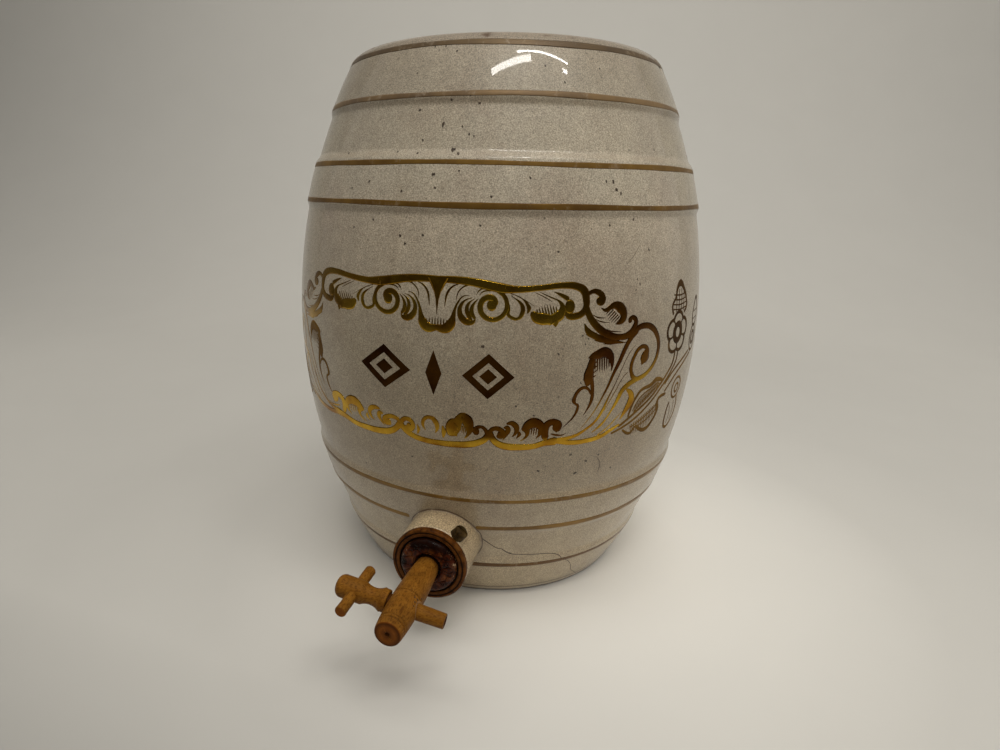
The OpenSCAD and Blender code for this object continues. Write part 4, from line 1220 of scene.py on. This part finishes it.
def collarRing():
    out, rounded, bore = collarSizes["outer"], collarSizes["outerRound"], collarSizes["bore"]
    line, lineRound, bead = collarSizes["line"], collarSizes["lineRound"], collarSizes["bead"]
    sleeve, seat = collarSizes["sleeve"], bossFace + collarSizes["seatGap"]
    sleeveEnd = bossFace - collarSizes["sleeveLength"]
    gapFloor = ringFace - collarSizes["groove"]
    beadRound = (line - lineRound - bead) / 2
    points = [(sleeve, seat), (out - collarSizes["backIn"], seat)]
    points += arcPoints((out - rounded, ringFace - rounded), rounded, 0, 90, 8)
    points += arcPoints((line, ringFace), lineRound, 0, -180, 8)
    points += arcPoints((bead + beadRound, ringFace - beadRound), beadRound, 90, 180, 6)
    points += [(bead, gapFloor), (bore, gapFloor), (bore, sleeveEnd), (sleeve, sleeveEnd)]
    bm = lathe(points, collarSizes["turns"], True)
    grimeAndShade = bm.verts.layers.float.new("grimeAndShade")
    coarse, fine = collarSizes["dentCells"]
    for vert in bm.verts:
        level = vert.co.z / mm
        flat = Vector((vert.co.x, vert.co.y, 0))
        # dirt and painted shade in the groove inside the ring's face
        if flat.length / mm < out - collarSizes["dirtAndShadeIn"]:
            vert[grimeAndShade] = smoothStep((ringFace - level - collarSizes["dirtAndShadeFrom"]) / collarSizes["dirtAndShadeDeep"])
        if level > bossFace + collarSizes["dentFrom"]:
            dent = max(0, noise.noise(vert.co * coarse) + 0.5 * noise.noise(vert.co * fine)) * mm
            vert.co.z -= collarSizes["dentDeep"] * dent
            vert.co -= flat.normalized() * collarSizes["dentIn"] * dent
    bm.transform(tapPlace)
    return bm


addPiece("collarRing", collarRing(), brass, "barrel", ("tap_collar",), 60)

stubSizes = {
    "radius": 4.5, "shank": 2.5, "shankFrom": 18.2, "out": 6, "sunk": 0.5, "footIn": 0.3, "turnDeg": 50,
    "ridge": 0.15, "ridges": 12, "ridgeSunk": 0.4, "headRound": 1.9, "crown": (1.8, 0.1),
    "slot": 1.1, "slotLong": 30, "slotDeep": 1.6, "lump": 0.28, "lumpCells": (330, 800), "turns": 72,
}


def collarStub():
    size = stubSizes
    radius, shank, out, headR = size["radius"], size["shank"], size["out"], size["headRound"]
    seat, crown = bossSizes["radius"], size["crown"]
    end, foot = size["shankFrom"], seat - size["sunk"]
    points = [(0, end), (shank, end), (shank, foot), (radius - size["footIn"], foot)]
    for i in range(size["ridges"]):
        level = seat - size["ridgeSunk"] + (out - headR) * i / size["ridges"]
        points.append((radius - size["ridge"] * (i % 2), level))
    points += arcPoints((radius - headR, seat + out - headR), headR, 0, 78, 7)
    points += [(crown[0], seat + out - crown[1]), (0, seat + out)]
    bm = lathe(points, size["turns"])
    slotBox = Matrix.Diagonal((size["slot"] * mm, size["slotLong"] * mm, 2 * size["slotDeep"] * mm, 1))
    slot = bmesh.new()
    bmesh.ops.create_cube(slot, size=1, matrix=shifted(0, 0, seat + out) @ slotBox)
    bm = cutAway(bm, slot)
    middle = Vector((0, 0, (seat + out / 2) * mm))
    coarse, fine = size["lumpCells"]
    for vert in bm.verts:
        if vert.co.z / mm > seat:
            lump = noise.noise(vert.co * coarse + Vector((3, 1, 7))) + 0.5 * noise.noise(vert.co * fine)
            vert.co -= (vert.co - middle).normalized() * size["lump"] * mm * max(-0.2, lump)
    lean = turned(size["turnDeg"], "Z") @ turned(90, "Y")
    bm.transform(tapPlace @ shifted(0, 0, bossFace - radius) @ lean)
    return bm


addPiece("collarStub", collarStub(), stubBrass, "barrel", ("collar_screw",), 35)

waxSizes = {
    "outer": 17.95, "hole": 7.65, "back": 0.05, "stands": 2.8, "shoulder": 3.5, "turns": 240, "rings": 30,
    "moatWide": 2.2, "moatDeep": 1.3, "splitDeg": -4, "splitWide": 0.55, "splitDeep": 0.9,
    "crackCells": 200, "crackWide": 0.12, "crackDeep": 0.5,
    "lumps": (0.30, 0.14), "lumpCells": (210, 620), "sag": 0.1, "mostUp": 0.15,
}


def waxDisc():
    outer, hole, shoulder = waxSizes["outer"], waxSizes["hole"], waxSizes["shoulder"]
    top = ringFace + waxSizes["stands"]
    low = bossFace + waxSizes["back"]
    flat = outer - shoulder
    points = [(outer, low), *arcPoints((flat, top - shoulder), shoulder, 0, 90, 14)]
    points += [(flat - (flat - hole) * i / waxSizes["rings"], top) for i in range(1, waxSizes["rings"] + 1)]
    points.append((hole, low))
    bm = lathe(points, waxSizes["turns"], True)
    blackAndShadow = bm.verts.layers.float.new("blackAndShadow")
    crust = bm.verts.layers.float.new("crust")
    (large, small), (largeCells, smallCells) = waxSizes["lumps"], waxSizes["lumpCells"]
    for vert in bm.verts:
        radius = math.hypot(vert.co.x, vert.co.y) / mm
        turn = math.atan2(vert.co.y, vert.co.x)
        edge = smoothStep((radius - flat) / shoulder)
        moat = 1 - smoothStep((radius - hole) / waxSizes["moatWide"])
        near = noise.voronoi(vert.co * waxSizes["crackCells"])[0]
        crack = 1 - smoothStep((near[1] - near[0]) / waxSizes["crackWide"])
        # one wide split to the right of the tap
        aside = abs(turn - math.radians(waxSizes["splitDeg"]) - 0.02 * math.sin(1.3 * radius)) * radius
        split = (1 - smoothStep(aside / waxSizes["splitWide"])) * smoothStep((outer - 1 - radius) / 3)
        # black in the cracks and the split, a painted shadow in the moat round the tap, and black over the
        # top
        vert[blackAndShadow] = max(0.7 * crack, split, moat, 0.9 * smoothStep((math.sin(turn) * radius - 10) / 4))
        # pale dust and a painted highlight on the shoulder's outer edge, mostly to the right
        right = smoothStep((math.cos(turn + 0.2) - 0.45) / 0.35)
        left = 0.7 * smoothStep((-math.cos(turn) - 0.55) / 0.3)
        vert[crust] = max(right, left) * smoothStep((radius - flat - 1.2) / 1.2)
        if vert.co.z / mm > top - 0.9 * shoulder and radius > hole + 0.1:
            lump = large * noise.noise(vert.co * largeCells) + small * noise.noise(vert.co * smallCells)
            dip = waxSizes["crackDeep"] * crack * (1 - edge) + waxSizes["splitDeep"] * split
            dip += waxSizes["moatDeep"] * moat
            vert.co.z += min(waxSizes["mostUp"], lump - waxSizes["sag"] - dip) * mm
    bm.transform(tapPlace)
    return bm


addPiece("waxDisc", waxDisc(), wax, "barrel", ("wax_seal",), 60)
print("collar, stub and wax made")


# wooden tap

tapSizes = {
    "tailEnd": 5.5, "root": 7, "belly": 9, "front": 7.5, "frontRound": 0.9, "frontFlat": 3.2,
    "tail": 64, "out": 64, "keyOut": 41, "keyHole": 5.81, "keyHoleLong": 40, "turns": 96,
    "groove": 0.6, "grooveShare": 0.85, "grooves": (36.8, 57, 59.2), "drill": 1.4, "drillDeep": 2.6,
    "splits": ((-50, 4.4, 0.9), (118, 2.4, 0.4)), "splitDeep": 2.4,  # degrees round the front, reach, width
}


def arcDrop(length, drop, along):
    radius = (length ** 2 + drop ** 2) / (2 * drop)
    return radius - math.sqrt(radius ** 2 - along ** 2)


def tapRadius(out):
    # out is mm beyond the ring's face
    keyOut, belly = tapSizes["keyOut"], tapSizes["belly"]
    if out < 0:
        radius = tapSizes["root"] + (tapSizes["root"] - tapSizes["tailEnd"]) * out / tapSizes["tail"]
    elif out < keyOut:
        radius = belly - arcDrop(keyOut, belly - tapSizes["root"], keyOut - out)
    else:
        radius = belly - arcDrop(tapSizes["out"] - keyOut, belly - tapSizes["front"], out - keyOut)
    for groove in tapSizes["grooves"]:
        off = abs(out - groove)
        if off < tapSizes["groove"]:
            radius -= tapSizes["grooveShare"] * math.sqrt(tapSizes["groove"] ** 2 - off ** 2)
    return radius


def tapTurning():
    rounded, drill = tapSizes["frontRound"], tapSizes["drill"]
    front, last = ringFace + tapSizes["out"], tapSizes["out"] - rounded
    levels = {-tapSizes["tail"] + 2.0 * i for i in range(32)} | {1.6 * i for i in range(40)}
    for groove in tapSizes["grooves"]:
        levels.update(groove + 0.15 * i for i in range(-5, 6))
    points = [(0, ringFace - tapSizes["tail"])]
    points += [(tapRadius(out), ringFace + out) for out in sorted(levels) if out < last]
    points += arcPoints((tapSizes["front"] - rounded, ringFace + last), rounded, 0, 90, 5)
    points += [(tapSizes["front"] - tapSizes["frontFlat"], front), (drill, front - 0.15)]
    points += [(0.8 * drill, front - 0.7), (0, front - tapSizes["drillDeep"])]
    bm = lathe(points, tapSizes["turns"])
    dirtAndShade = bm.verts.layers.float.new("dirtAndShade")
    for vert in bm.verts:
        out = vert.co.z / mm - ringFace
        radius = math.hypot(vert.co.x, vert.co.y) / mm
        # dirt and painted shade in the grooves, on the front end's rim and at the root by the wax
        groove = max(1 - smoothStep(abs(out - at) / 0.5) for at in tapSizes["grooves"])
        edge = max(smoothStep((radius - 5.4) / 1.2), smoothStep((2.4 - radius) / 1.2))
        rim = smoothStep((out - last) / rounded) * edge
        root = 1 - smoothStep((out - 3) / 4)
        vert[dirtAndShade] = max(0.5 * groove, 0.8 * rim, 0.6 * root)
    # drying splits that run out from the centre mark
    for turnDeg, reach, wide in tapSizes["splits"]:
        split = bmesh.new()
        place = turned(turnDeg, "Z") @ shifted(reach / 2, 0, front)
        size = Matrix.Diagonal((reach * mm, wide * mm, tapSizes["splitDeep"] * mm, 1))
        bmesh.ops.create_cone(
            split, cap_ends=True, segments=4, radius1=0.25, radius2=0.71, depth=1, matrix=place @ size)
        bm = cutAway(bm, split)
    # painted shade inside the splits at the front
    dirtAndShade = bm.verts.layers.float["dirtAndShade"]
    for vert in bm.verts:
        deep = tapSizes["out"] - vert.co.z / mm + ringFace
        if 0.3 < deep < 3 and math.hypot(vert.co.x, vert.co.y) / mm < 5.8:
            vert[dirtAndShade] = 1
    bm.transform(tapPlace)
    return cutAway(bm, rod(tapSizes["keyHole"], tapSizes["keyHoleLong"], keyPlace, 64))


keyPos = Vector(joints["key_turn"]["pos_m"])
keyAxis = Vector(joints["key_turn"]["axis"])
keyPlace = Matrix.Translation(keyPos) @ Vector((0, 0, 1)).rotation_difference(keyAxis).to_matrix().to_4x4()
tapAxis = Vector((0, -1, 0))


def setEndGrain(piece, endMaterial, axis, least=0.85, onlyPast=None):
    # faces that look along the axis take the end grain
    piece.data.materials.append(endMaterial)
    for face in piece.data.polygons:
        past = onlyPast is None or face.center.dot(axis) > onlyPast
        if abs(face.normal.dot(axis)) > least and past:
            face.material_index = 1


tapPiece = addPiece("tapTurning", tapTurning(), tapWood, "tap", ("tap_body",), 50)
setEndGrain(tapPiece, tapEnd, tapAxis, 0.3, (ringFace + tapSizes["out"] - 3) * mm)

keySizes = {
    "headEnd": -40.3, "headRadius": 6.5, "headRound": 4, "neckAt": -24.3, "neck": 4.8, "neckPoints": 14,
    "collarAt": -13.3, "collar": 6.4, "shaftAt": -9.3, "shaft": 4.5,
    "spoutAt": 9.3, "spout": 4.2, "spoutTaper": 0.3, "spoutPoints": 8, "spoutEnd": 24.5, "spoutRound": 0.5,
    "outlet": 2.5, "outletDeep": 18, "turns": 80,
}
barSizes = {
    "at": -28.8, "radius": 3.3, "length": 39, "round": 0.8, "waver": 0.06, "turns": 64,
    "clearance": 0.05, "holeLong": 30,
}
barPlace = Matrix.Translation(keyPos + keyAxis * barSizes["at"] * mm) @ turned(90, "X")


def keyTurning():
    size = keySizes
    headR, headRound, neckAt, collar = size["headRadius"], size["headRound"], size["neckAt"], size["collar"]
    collarAt, shaft, shaftAt, taper = size["collarAt"], size["shaft"], size["shaftAt"], size["spoutTaper"]
    spout, spoutAt, spoutEnd, outlet = size["spout"], size["spoutAt"], size["spoutEnd"], size["outlet"]
    points = [(0, size["headEnd"])]
    points += arcPoints((headR - headRound, size["headEnd"] + headRound), headRound, -90, 0, 10)
    points += [(headR, neckAt - 8), (headR - 0.1, neckAt - 0.6)]
    for i in range(size["neckPoints"] + 1):
        share = i / size["neckPoints"]
        hollow = (collar - size["neck"]) * (1 - (2 * share - 1) ** 2)
        points.append((collar - hollow, neckAt + (collarAt - neckAt) * share))
    points += arcPoints((collar - 0.2, collarAt + 0.7), 0.5, -60, 60, 4)
    points += arcPoints((collar - 0.6, shaftAt - 0.6), 0.6, 0, 90, 4)
    points += [(shaft, shaftAt), (shaft, spoutAt - taper), (spout + taper, spoutAt)]
    length, count = spoutEnd - spoutAt, size["spoutPoints"]
    points += [(spout + taper - taper * i / count, spoutAt + length * i / count) for i in range(1, count)]
    rounded, inside = size["spoutRound"], spoutEnd - size["outletDeep"]
    points += arcPoints((spout - rounded, spoutEnd - rounded), rounded, 0, 90, 4)
    points += [(outlet + 0.2, spoutEnd), (outlet, spoutEnd - 0.3), (outlet, inside), (0, inside - 1)]
    bm = lathe(points, size["turns"])
    dirtAndShade = bm.verts.layers.float.new("dirtAndShade")
    for vert in bm.verts:
        along = vert.co.z / mm
        radius = math.hypot(vert.co.x, vert.co.y) / mm
        # dirt and painted shade at the joint of collar and shaft, and inside the outlet
        joint = (1 - smoothStep((abs(along - shaftAt) - 0.1) / 0.5)) * smoothStep((6.1 - radius) / 1.2)
        mouth = smoothStep((along - spoutEnd + 1) / 0.8) * smoothStep((3.2 - radius) / 0.4)
        vert[dirtAndShade] = max(joint, mouth)
    bm.transform(keyPlace)
    return cutAway(bm, rod(barSizes["radius"] + barSizes["clearance"], barSizes["holeLong"], barPlace))


def crossbarDowel():
    half, rounded = barSizes["length"] / 2, barSizes["round"]
    radius, waver = barSizes["radius"], barSizes["waver"]
    points = [(0, -half)]
    points += arcPoints((radius - rounded, rounded - half), rounded, -90, 0, 5)
    points += [(radius + waver * math.sin(1.7 * i) - waver, -half + 3 + 3 * i) for i in range(12)]
    points += arcPoints((radius - rounded, half - rounded), rounded, 0, 90, 5)
    points.append((0, half))
    bm = lathe(points, barSizes["turns"])
    bm.transform(barPlace)
    return bm


keyPiece = addPiece("keyTurning", keyTurning(), keyWood, "key", ("tap_key",), 45)
setEndGrain(keyPiece, keyEnd, keyAxis, 0.9, 0.02)
barPiece = addPiece("crossbarDowel", crossbarDowel(), tapWood, "key", ("key_crossbar",), 60)
setEndGrain(barPiece, tapEnd, tapAxis, 0.9)


linerSizes = {"outer": 5.79, "inner": 4.57, "half": 12, "flush": 0.12, "trimLong": 40, "turns": 72}


def linerSleeve():
    # cork round the key, trimmed to the round of the tap
    ends = [(linerSizes[side], sign * linerSizes["half"]) for side, sign in
            (("inner", -1), ("outer", -1), ("outer", 1), ("inner", 1))]
    bm = lathe(ends, linerSizes["turns"], True)
    bm.transform(keyPlace)
    trim = tapSizes["belly"] - linerSizes["flush"]
    middle = tapPlace @ shifted(0, 0, ringFace + tapSizes["keyOut"])
    return cutAway(bm, rod(trim, linerSizes["trimLong"], middle, tapSizes["turns"]), "INTERSECT")


addPiece("linerSleeve", linerSleeve(), cork, "tap", ("key_liner",), 40)


# pinholes in the wood: mm beyond the ring's face, degrees round the tap from the spout, radius
pinSizes = {
    "places": ((39.5, 56, 0.55), (35.2, 28, 0.6), (39, 43, 0.58), (42, 47, 0.55), (44.6, 43, 0.52),
               (30.5, 20, 0.4)),
    "sunk": 0.02, "deep": 0.12,
}


def tapPinholes():
    bm = bmesh.new()
    for out, deg, radius in pinSizes["places"]:
        turn = math.radians(deg) - math.acos(keyAxis.x)
        along = shifted(0, 0, ringFace + out) @ Matrix.Rotation(turn, 4, "Z")
        place = along @ shifted(tapRadius(out) - pinSizes["sunk"], 0, 0)
        size = Matrix.Diagonal((pinSizes["deep"] * mm, radius * mm, radius * mm, 1))
        bmesh.ops.create_uvsphere(bm, u_segments=12, v_segments=8, radius=1, matrix=tapPlace @ place @ size)
    return bm


addPiece("tapPinholes", tapPinholes(), pinInk, "tap")

bung = frame["nodes"]["bung"]
bung.data.materials.clear()
bung.data.materials.append(cork)
print("tap and key made")


# floor, light and camera

stageLook = {
    "floor": (0.535, 0.520, 0.481), "half": 3.0, "front": -2.6, "wallAt": 1.5, "bend": 0.9, "tall": 2.6,
    # the paper falls into painted shade in front, and a painted pool of light lies right of the foot
    "fadeFrom": -0.24, "fadeTo": -0.50, "fade": 0.30, "fadeLeft": 0.35,
    "lightPool": ((0.10, 1.50), (0.17, 1.27), (0.27, 0.99), (0.40, 0.90), (0.60, 0.89), (1.0, 0.96)),
    "lightPoolAt": (0.06, -0.02), "mottle": 0.985, "mottleCells": 9, "rough": 0.75,
}


def backdrop():
    bm = bmesh.new()
    run = [(stageLook["front"], 0.0), (-1.0, 0.0), (0.0, 0.0)]
    run += [(y + stageLook["wallAt"] - stageLook["bend"], z + stageLook["bend"])
            for y, z in arcPoints((0, 0), stageLook["bend"], -90, 0, 24)]
    run.append((stageLook["wallAt"], stageLook["tall"]))
    verts = [bm.verts.new((-stageLook["half"], y, z)) for y, z in run]
    edges = [bm.edges.new(pair) for pair in zip(verts, verts[1:])]
    made = bmesh.ops.extrude_edge_only(bm, edges=edges)
    moved = [item for item in made["geom"] if isinstance(item, bmesh.types.BMVert)]
    bmesh.ops.translate(bm, verts=moved, vec=(2 * stageLook["half"], 0, 0))
    bmesh.ops.recalc_face_normals(bm, faces=bm.faces)
    mesh = meshFrom("backdrop", bm)
    mesh.shade_smooth()
    material, tree, shader = startMaterial("paperSweep")
    coords = objectCoords(tree)
    shade = tuple(stageLook["mottle"] * part for part in stageLook["floor"])
    mottle = noiseMap(tree, coords, stageLook["mottleCells"], 3, 0.6)
    paper = ramp(tree, mottle, ((0.35, shade), (0.65, stageLook["floor"])))
    split = addNode(tree, "ShaderNodeSeparateXYZ", {"Vector": coords})
    # painted shade, darker towards the front and the left
    away = calc(tree, "MULTIPLY_ADD", split.outputs["X"], stageLook["fadeLeft"], split.outputs["Y"])
    fade = calc(tree, "ADD", away, 1.0)
    dim = ramp(tree, fade, ((1 + stageLook["fadeTo"], stageLook["fade"]), (1 + stageLook["fadeFrom"], 1.0)))
    # a painted pool of light round the foot
    fromLightPool = objectCoords(tree, shift=(-stageLook["lightPoolAt"][0], -stageLook["lightPoolAt"][1], 0))
    reach = addNode(tree, "ShaderNodeVectorMath", {0: fromLightPool}, operation="LENGTH").outputs["Value"]
    lightPool = ramp(tree, reach, stageLook["lightPool"])
    paper = tinted(tree, tinted(tree, paper, dim), lightPool)
    plug(tree, shader, {"Base Color": paper, "Roughness": stageLook["rough"]})
    mesh.materials.append(material)
    sweep = linkNew("backdrop", mesh)
    sweep.rotation_euler.z = math.radians(cameraLook["aroundDeg"])


cameraLook = {
    "place": (0.1071, -0.4641, 0.2766), "aroundDeg": 13.0,
    "headingDeg": 15.81, "tiltDeg": 72.58, "rollDeg": 1.10, "clipStart": 0.01,
    "focalPixels": 603.5, "centrePixels": (466.0, 378.6), "imagePixels": (1000, 750), "sensor": 36.0,
}


def photoCamera():
    data = bpy.data.cameras.new("photoCamera")
    wide, tall = cameraLook["imagePixels"]
    data.sensor_fit = "HORIZONTAL"
    data.sensor_width = cameraLook["sensor"]
    data.lens = cameraLook["focalPixels"] * cameraLook["sensor"] / wide
    data.shift_x = (wide / 2 - cameraLook["centrePixels"][0]) / wide
    data.shift_y = (cameraLook["centrePixels"][1] - tall / 2) / wide
    data.clip_start = cameraLook["clipStart"]
    camera = linkNew("photoCamera", data)
    aim = turned(cameraLook["headingDeg"], "Z") @ turned(cameraLook["tiltDeg"], "X")
    camera.matrix_world = Matrix.Translation(cameraLook["place"]) @ aim @ turned(cameraLook["rollDeg"], "Z")
    bpy.context.scene.camera = camera


lampLook = {  # place, target, way of the first side, both sides' sizes, watts, whether the glaze mirrors it
    "overhead": ((0.10, -0.32, 1.55), (0.0, -0.1, 0.1), (1, 0, 0), (1.3, 0.4), 7.1, False),
    "frontFill": ((0.45, -1.55, 1.45), (0.1, -0.1, 0.0), (1, 0, 0), (1.5, 0.9), 10.1, False),
    "leftPanel": ((-1.1, -0.40, 1.45), (0.0, 0.0, 0.2), (0, 1, 0), (0.9, 0.9), 2.1, False),
    "rightPanel": ((1.1, -0.20, 1.45), (0.0, 0.0, 0.2), (0, 1, 0), (0.9, 0.9), 4.4, False),
    "wallWash": ((0.30, 0.55, 1.9), (0.30, 1.5, 1.05), (1, 0, 0), (3.0, 0.4), 20.0, False),
    "tube": ((0.57, -0.488, 1.6), (0.02, -0.10, 0.34), (0.90, 0.437, 0), (0.63, 0.014), 1.3, True),
    "window": ((0.25, -0.721, 1.6), (0.02, -0.10, 0.34), (0.862, 0.507, 0), (0.50, 0.05), 2.0, True),
    "glint": ((0.88, -0.42, 1.6), (0.02, -0.10, 0.34), (0.9, 0.437, 0), (0.06, 0.03), 0.2, True),
}
lampTint = (1.0, 0.975, 0.93)
worldLook = {"level": 0.45, "tint": (1.0, 0.965, 0.91), "front": 0.10, "sides": 0.30}


def lights():
    for name, (place, target, side, size, watts, mirrored) in lampLook.items():
        data = bpy.data.lights.new(name, "AREA")
        data.shape = "RECTANGLE"
        data.size, data.size_y = size
        data.energy = watts
        data.color = lampTint
        lamp = linkNew(name, data)
        back = (Vector(place) - Vector(target)).normalized()
        across = (Vector(side) - back * back.dot(Vector(side))).normalized()
        turn = Matrix((across, back.cross(across), back)).transposed()
        lamp.matrix_world = Matrix.Translation(place) @ turn.to_4x4()
        lamp.visible_glossy = mirrored


def room():
    # the room is dim in front of the barrel and pale elsewhere
    world = bpy.data.worlds.new("studioRoom")
    bpy.context.scene.world = world
    world.use_nodes = True
    tree = world.node_tree
    back = tree.nodes["Background"]
    way = addNode(tree, "ShaderNodeTexCoord").outputs["Generated"]
    split = addNode(tree, "ShaderNodeSeparateXYZ", {"Vector": way})
    depth = calc(tree, "MULTIPLY_ADD", split.outputs["Y"], 0.5, 0.5)
    sides = ramp(tree, depth, ((0.15, worldLook["front"]), (0.5, worldLook["sides"]), (0.8, 1.0)))
    ceiling = ramp(tree, split.outputs["Z"], ((0.68, 0.0), (0.9, 1.0)))
    level = calc(tree, "MAXIMUM", sides, ceiling)
    plug(tree, back, {"Color": tinted(tree, level, worldLook["tint"]), "Strength": worldLook["level"]})


backdrop()
photoCamera()
lights()
room()
bpy.context.scene.view_settings.view_transform = "Standard"
print("stage, lights and camera ready")
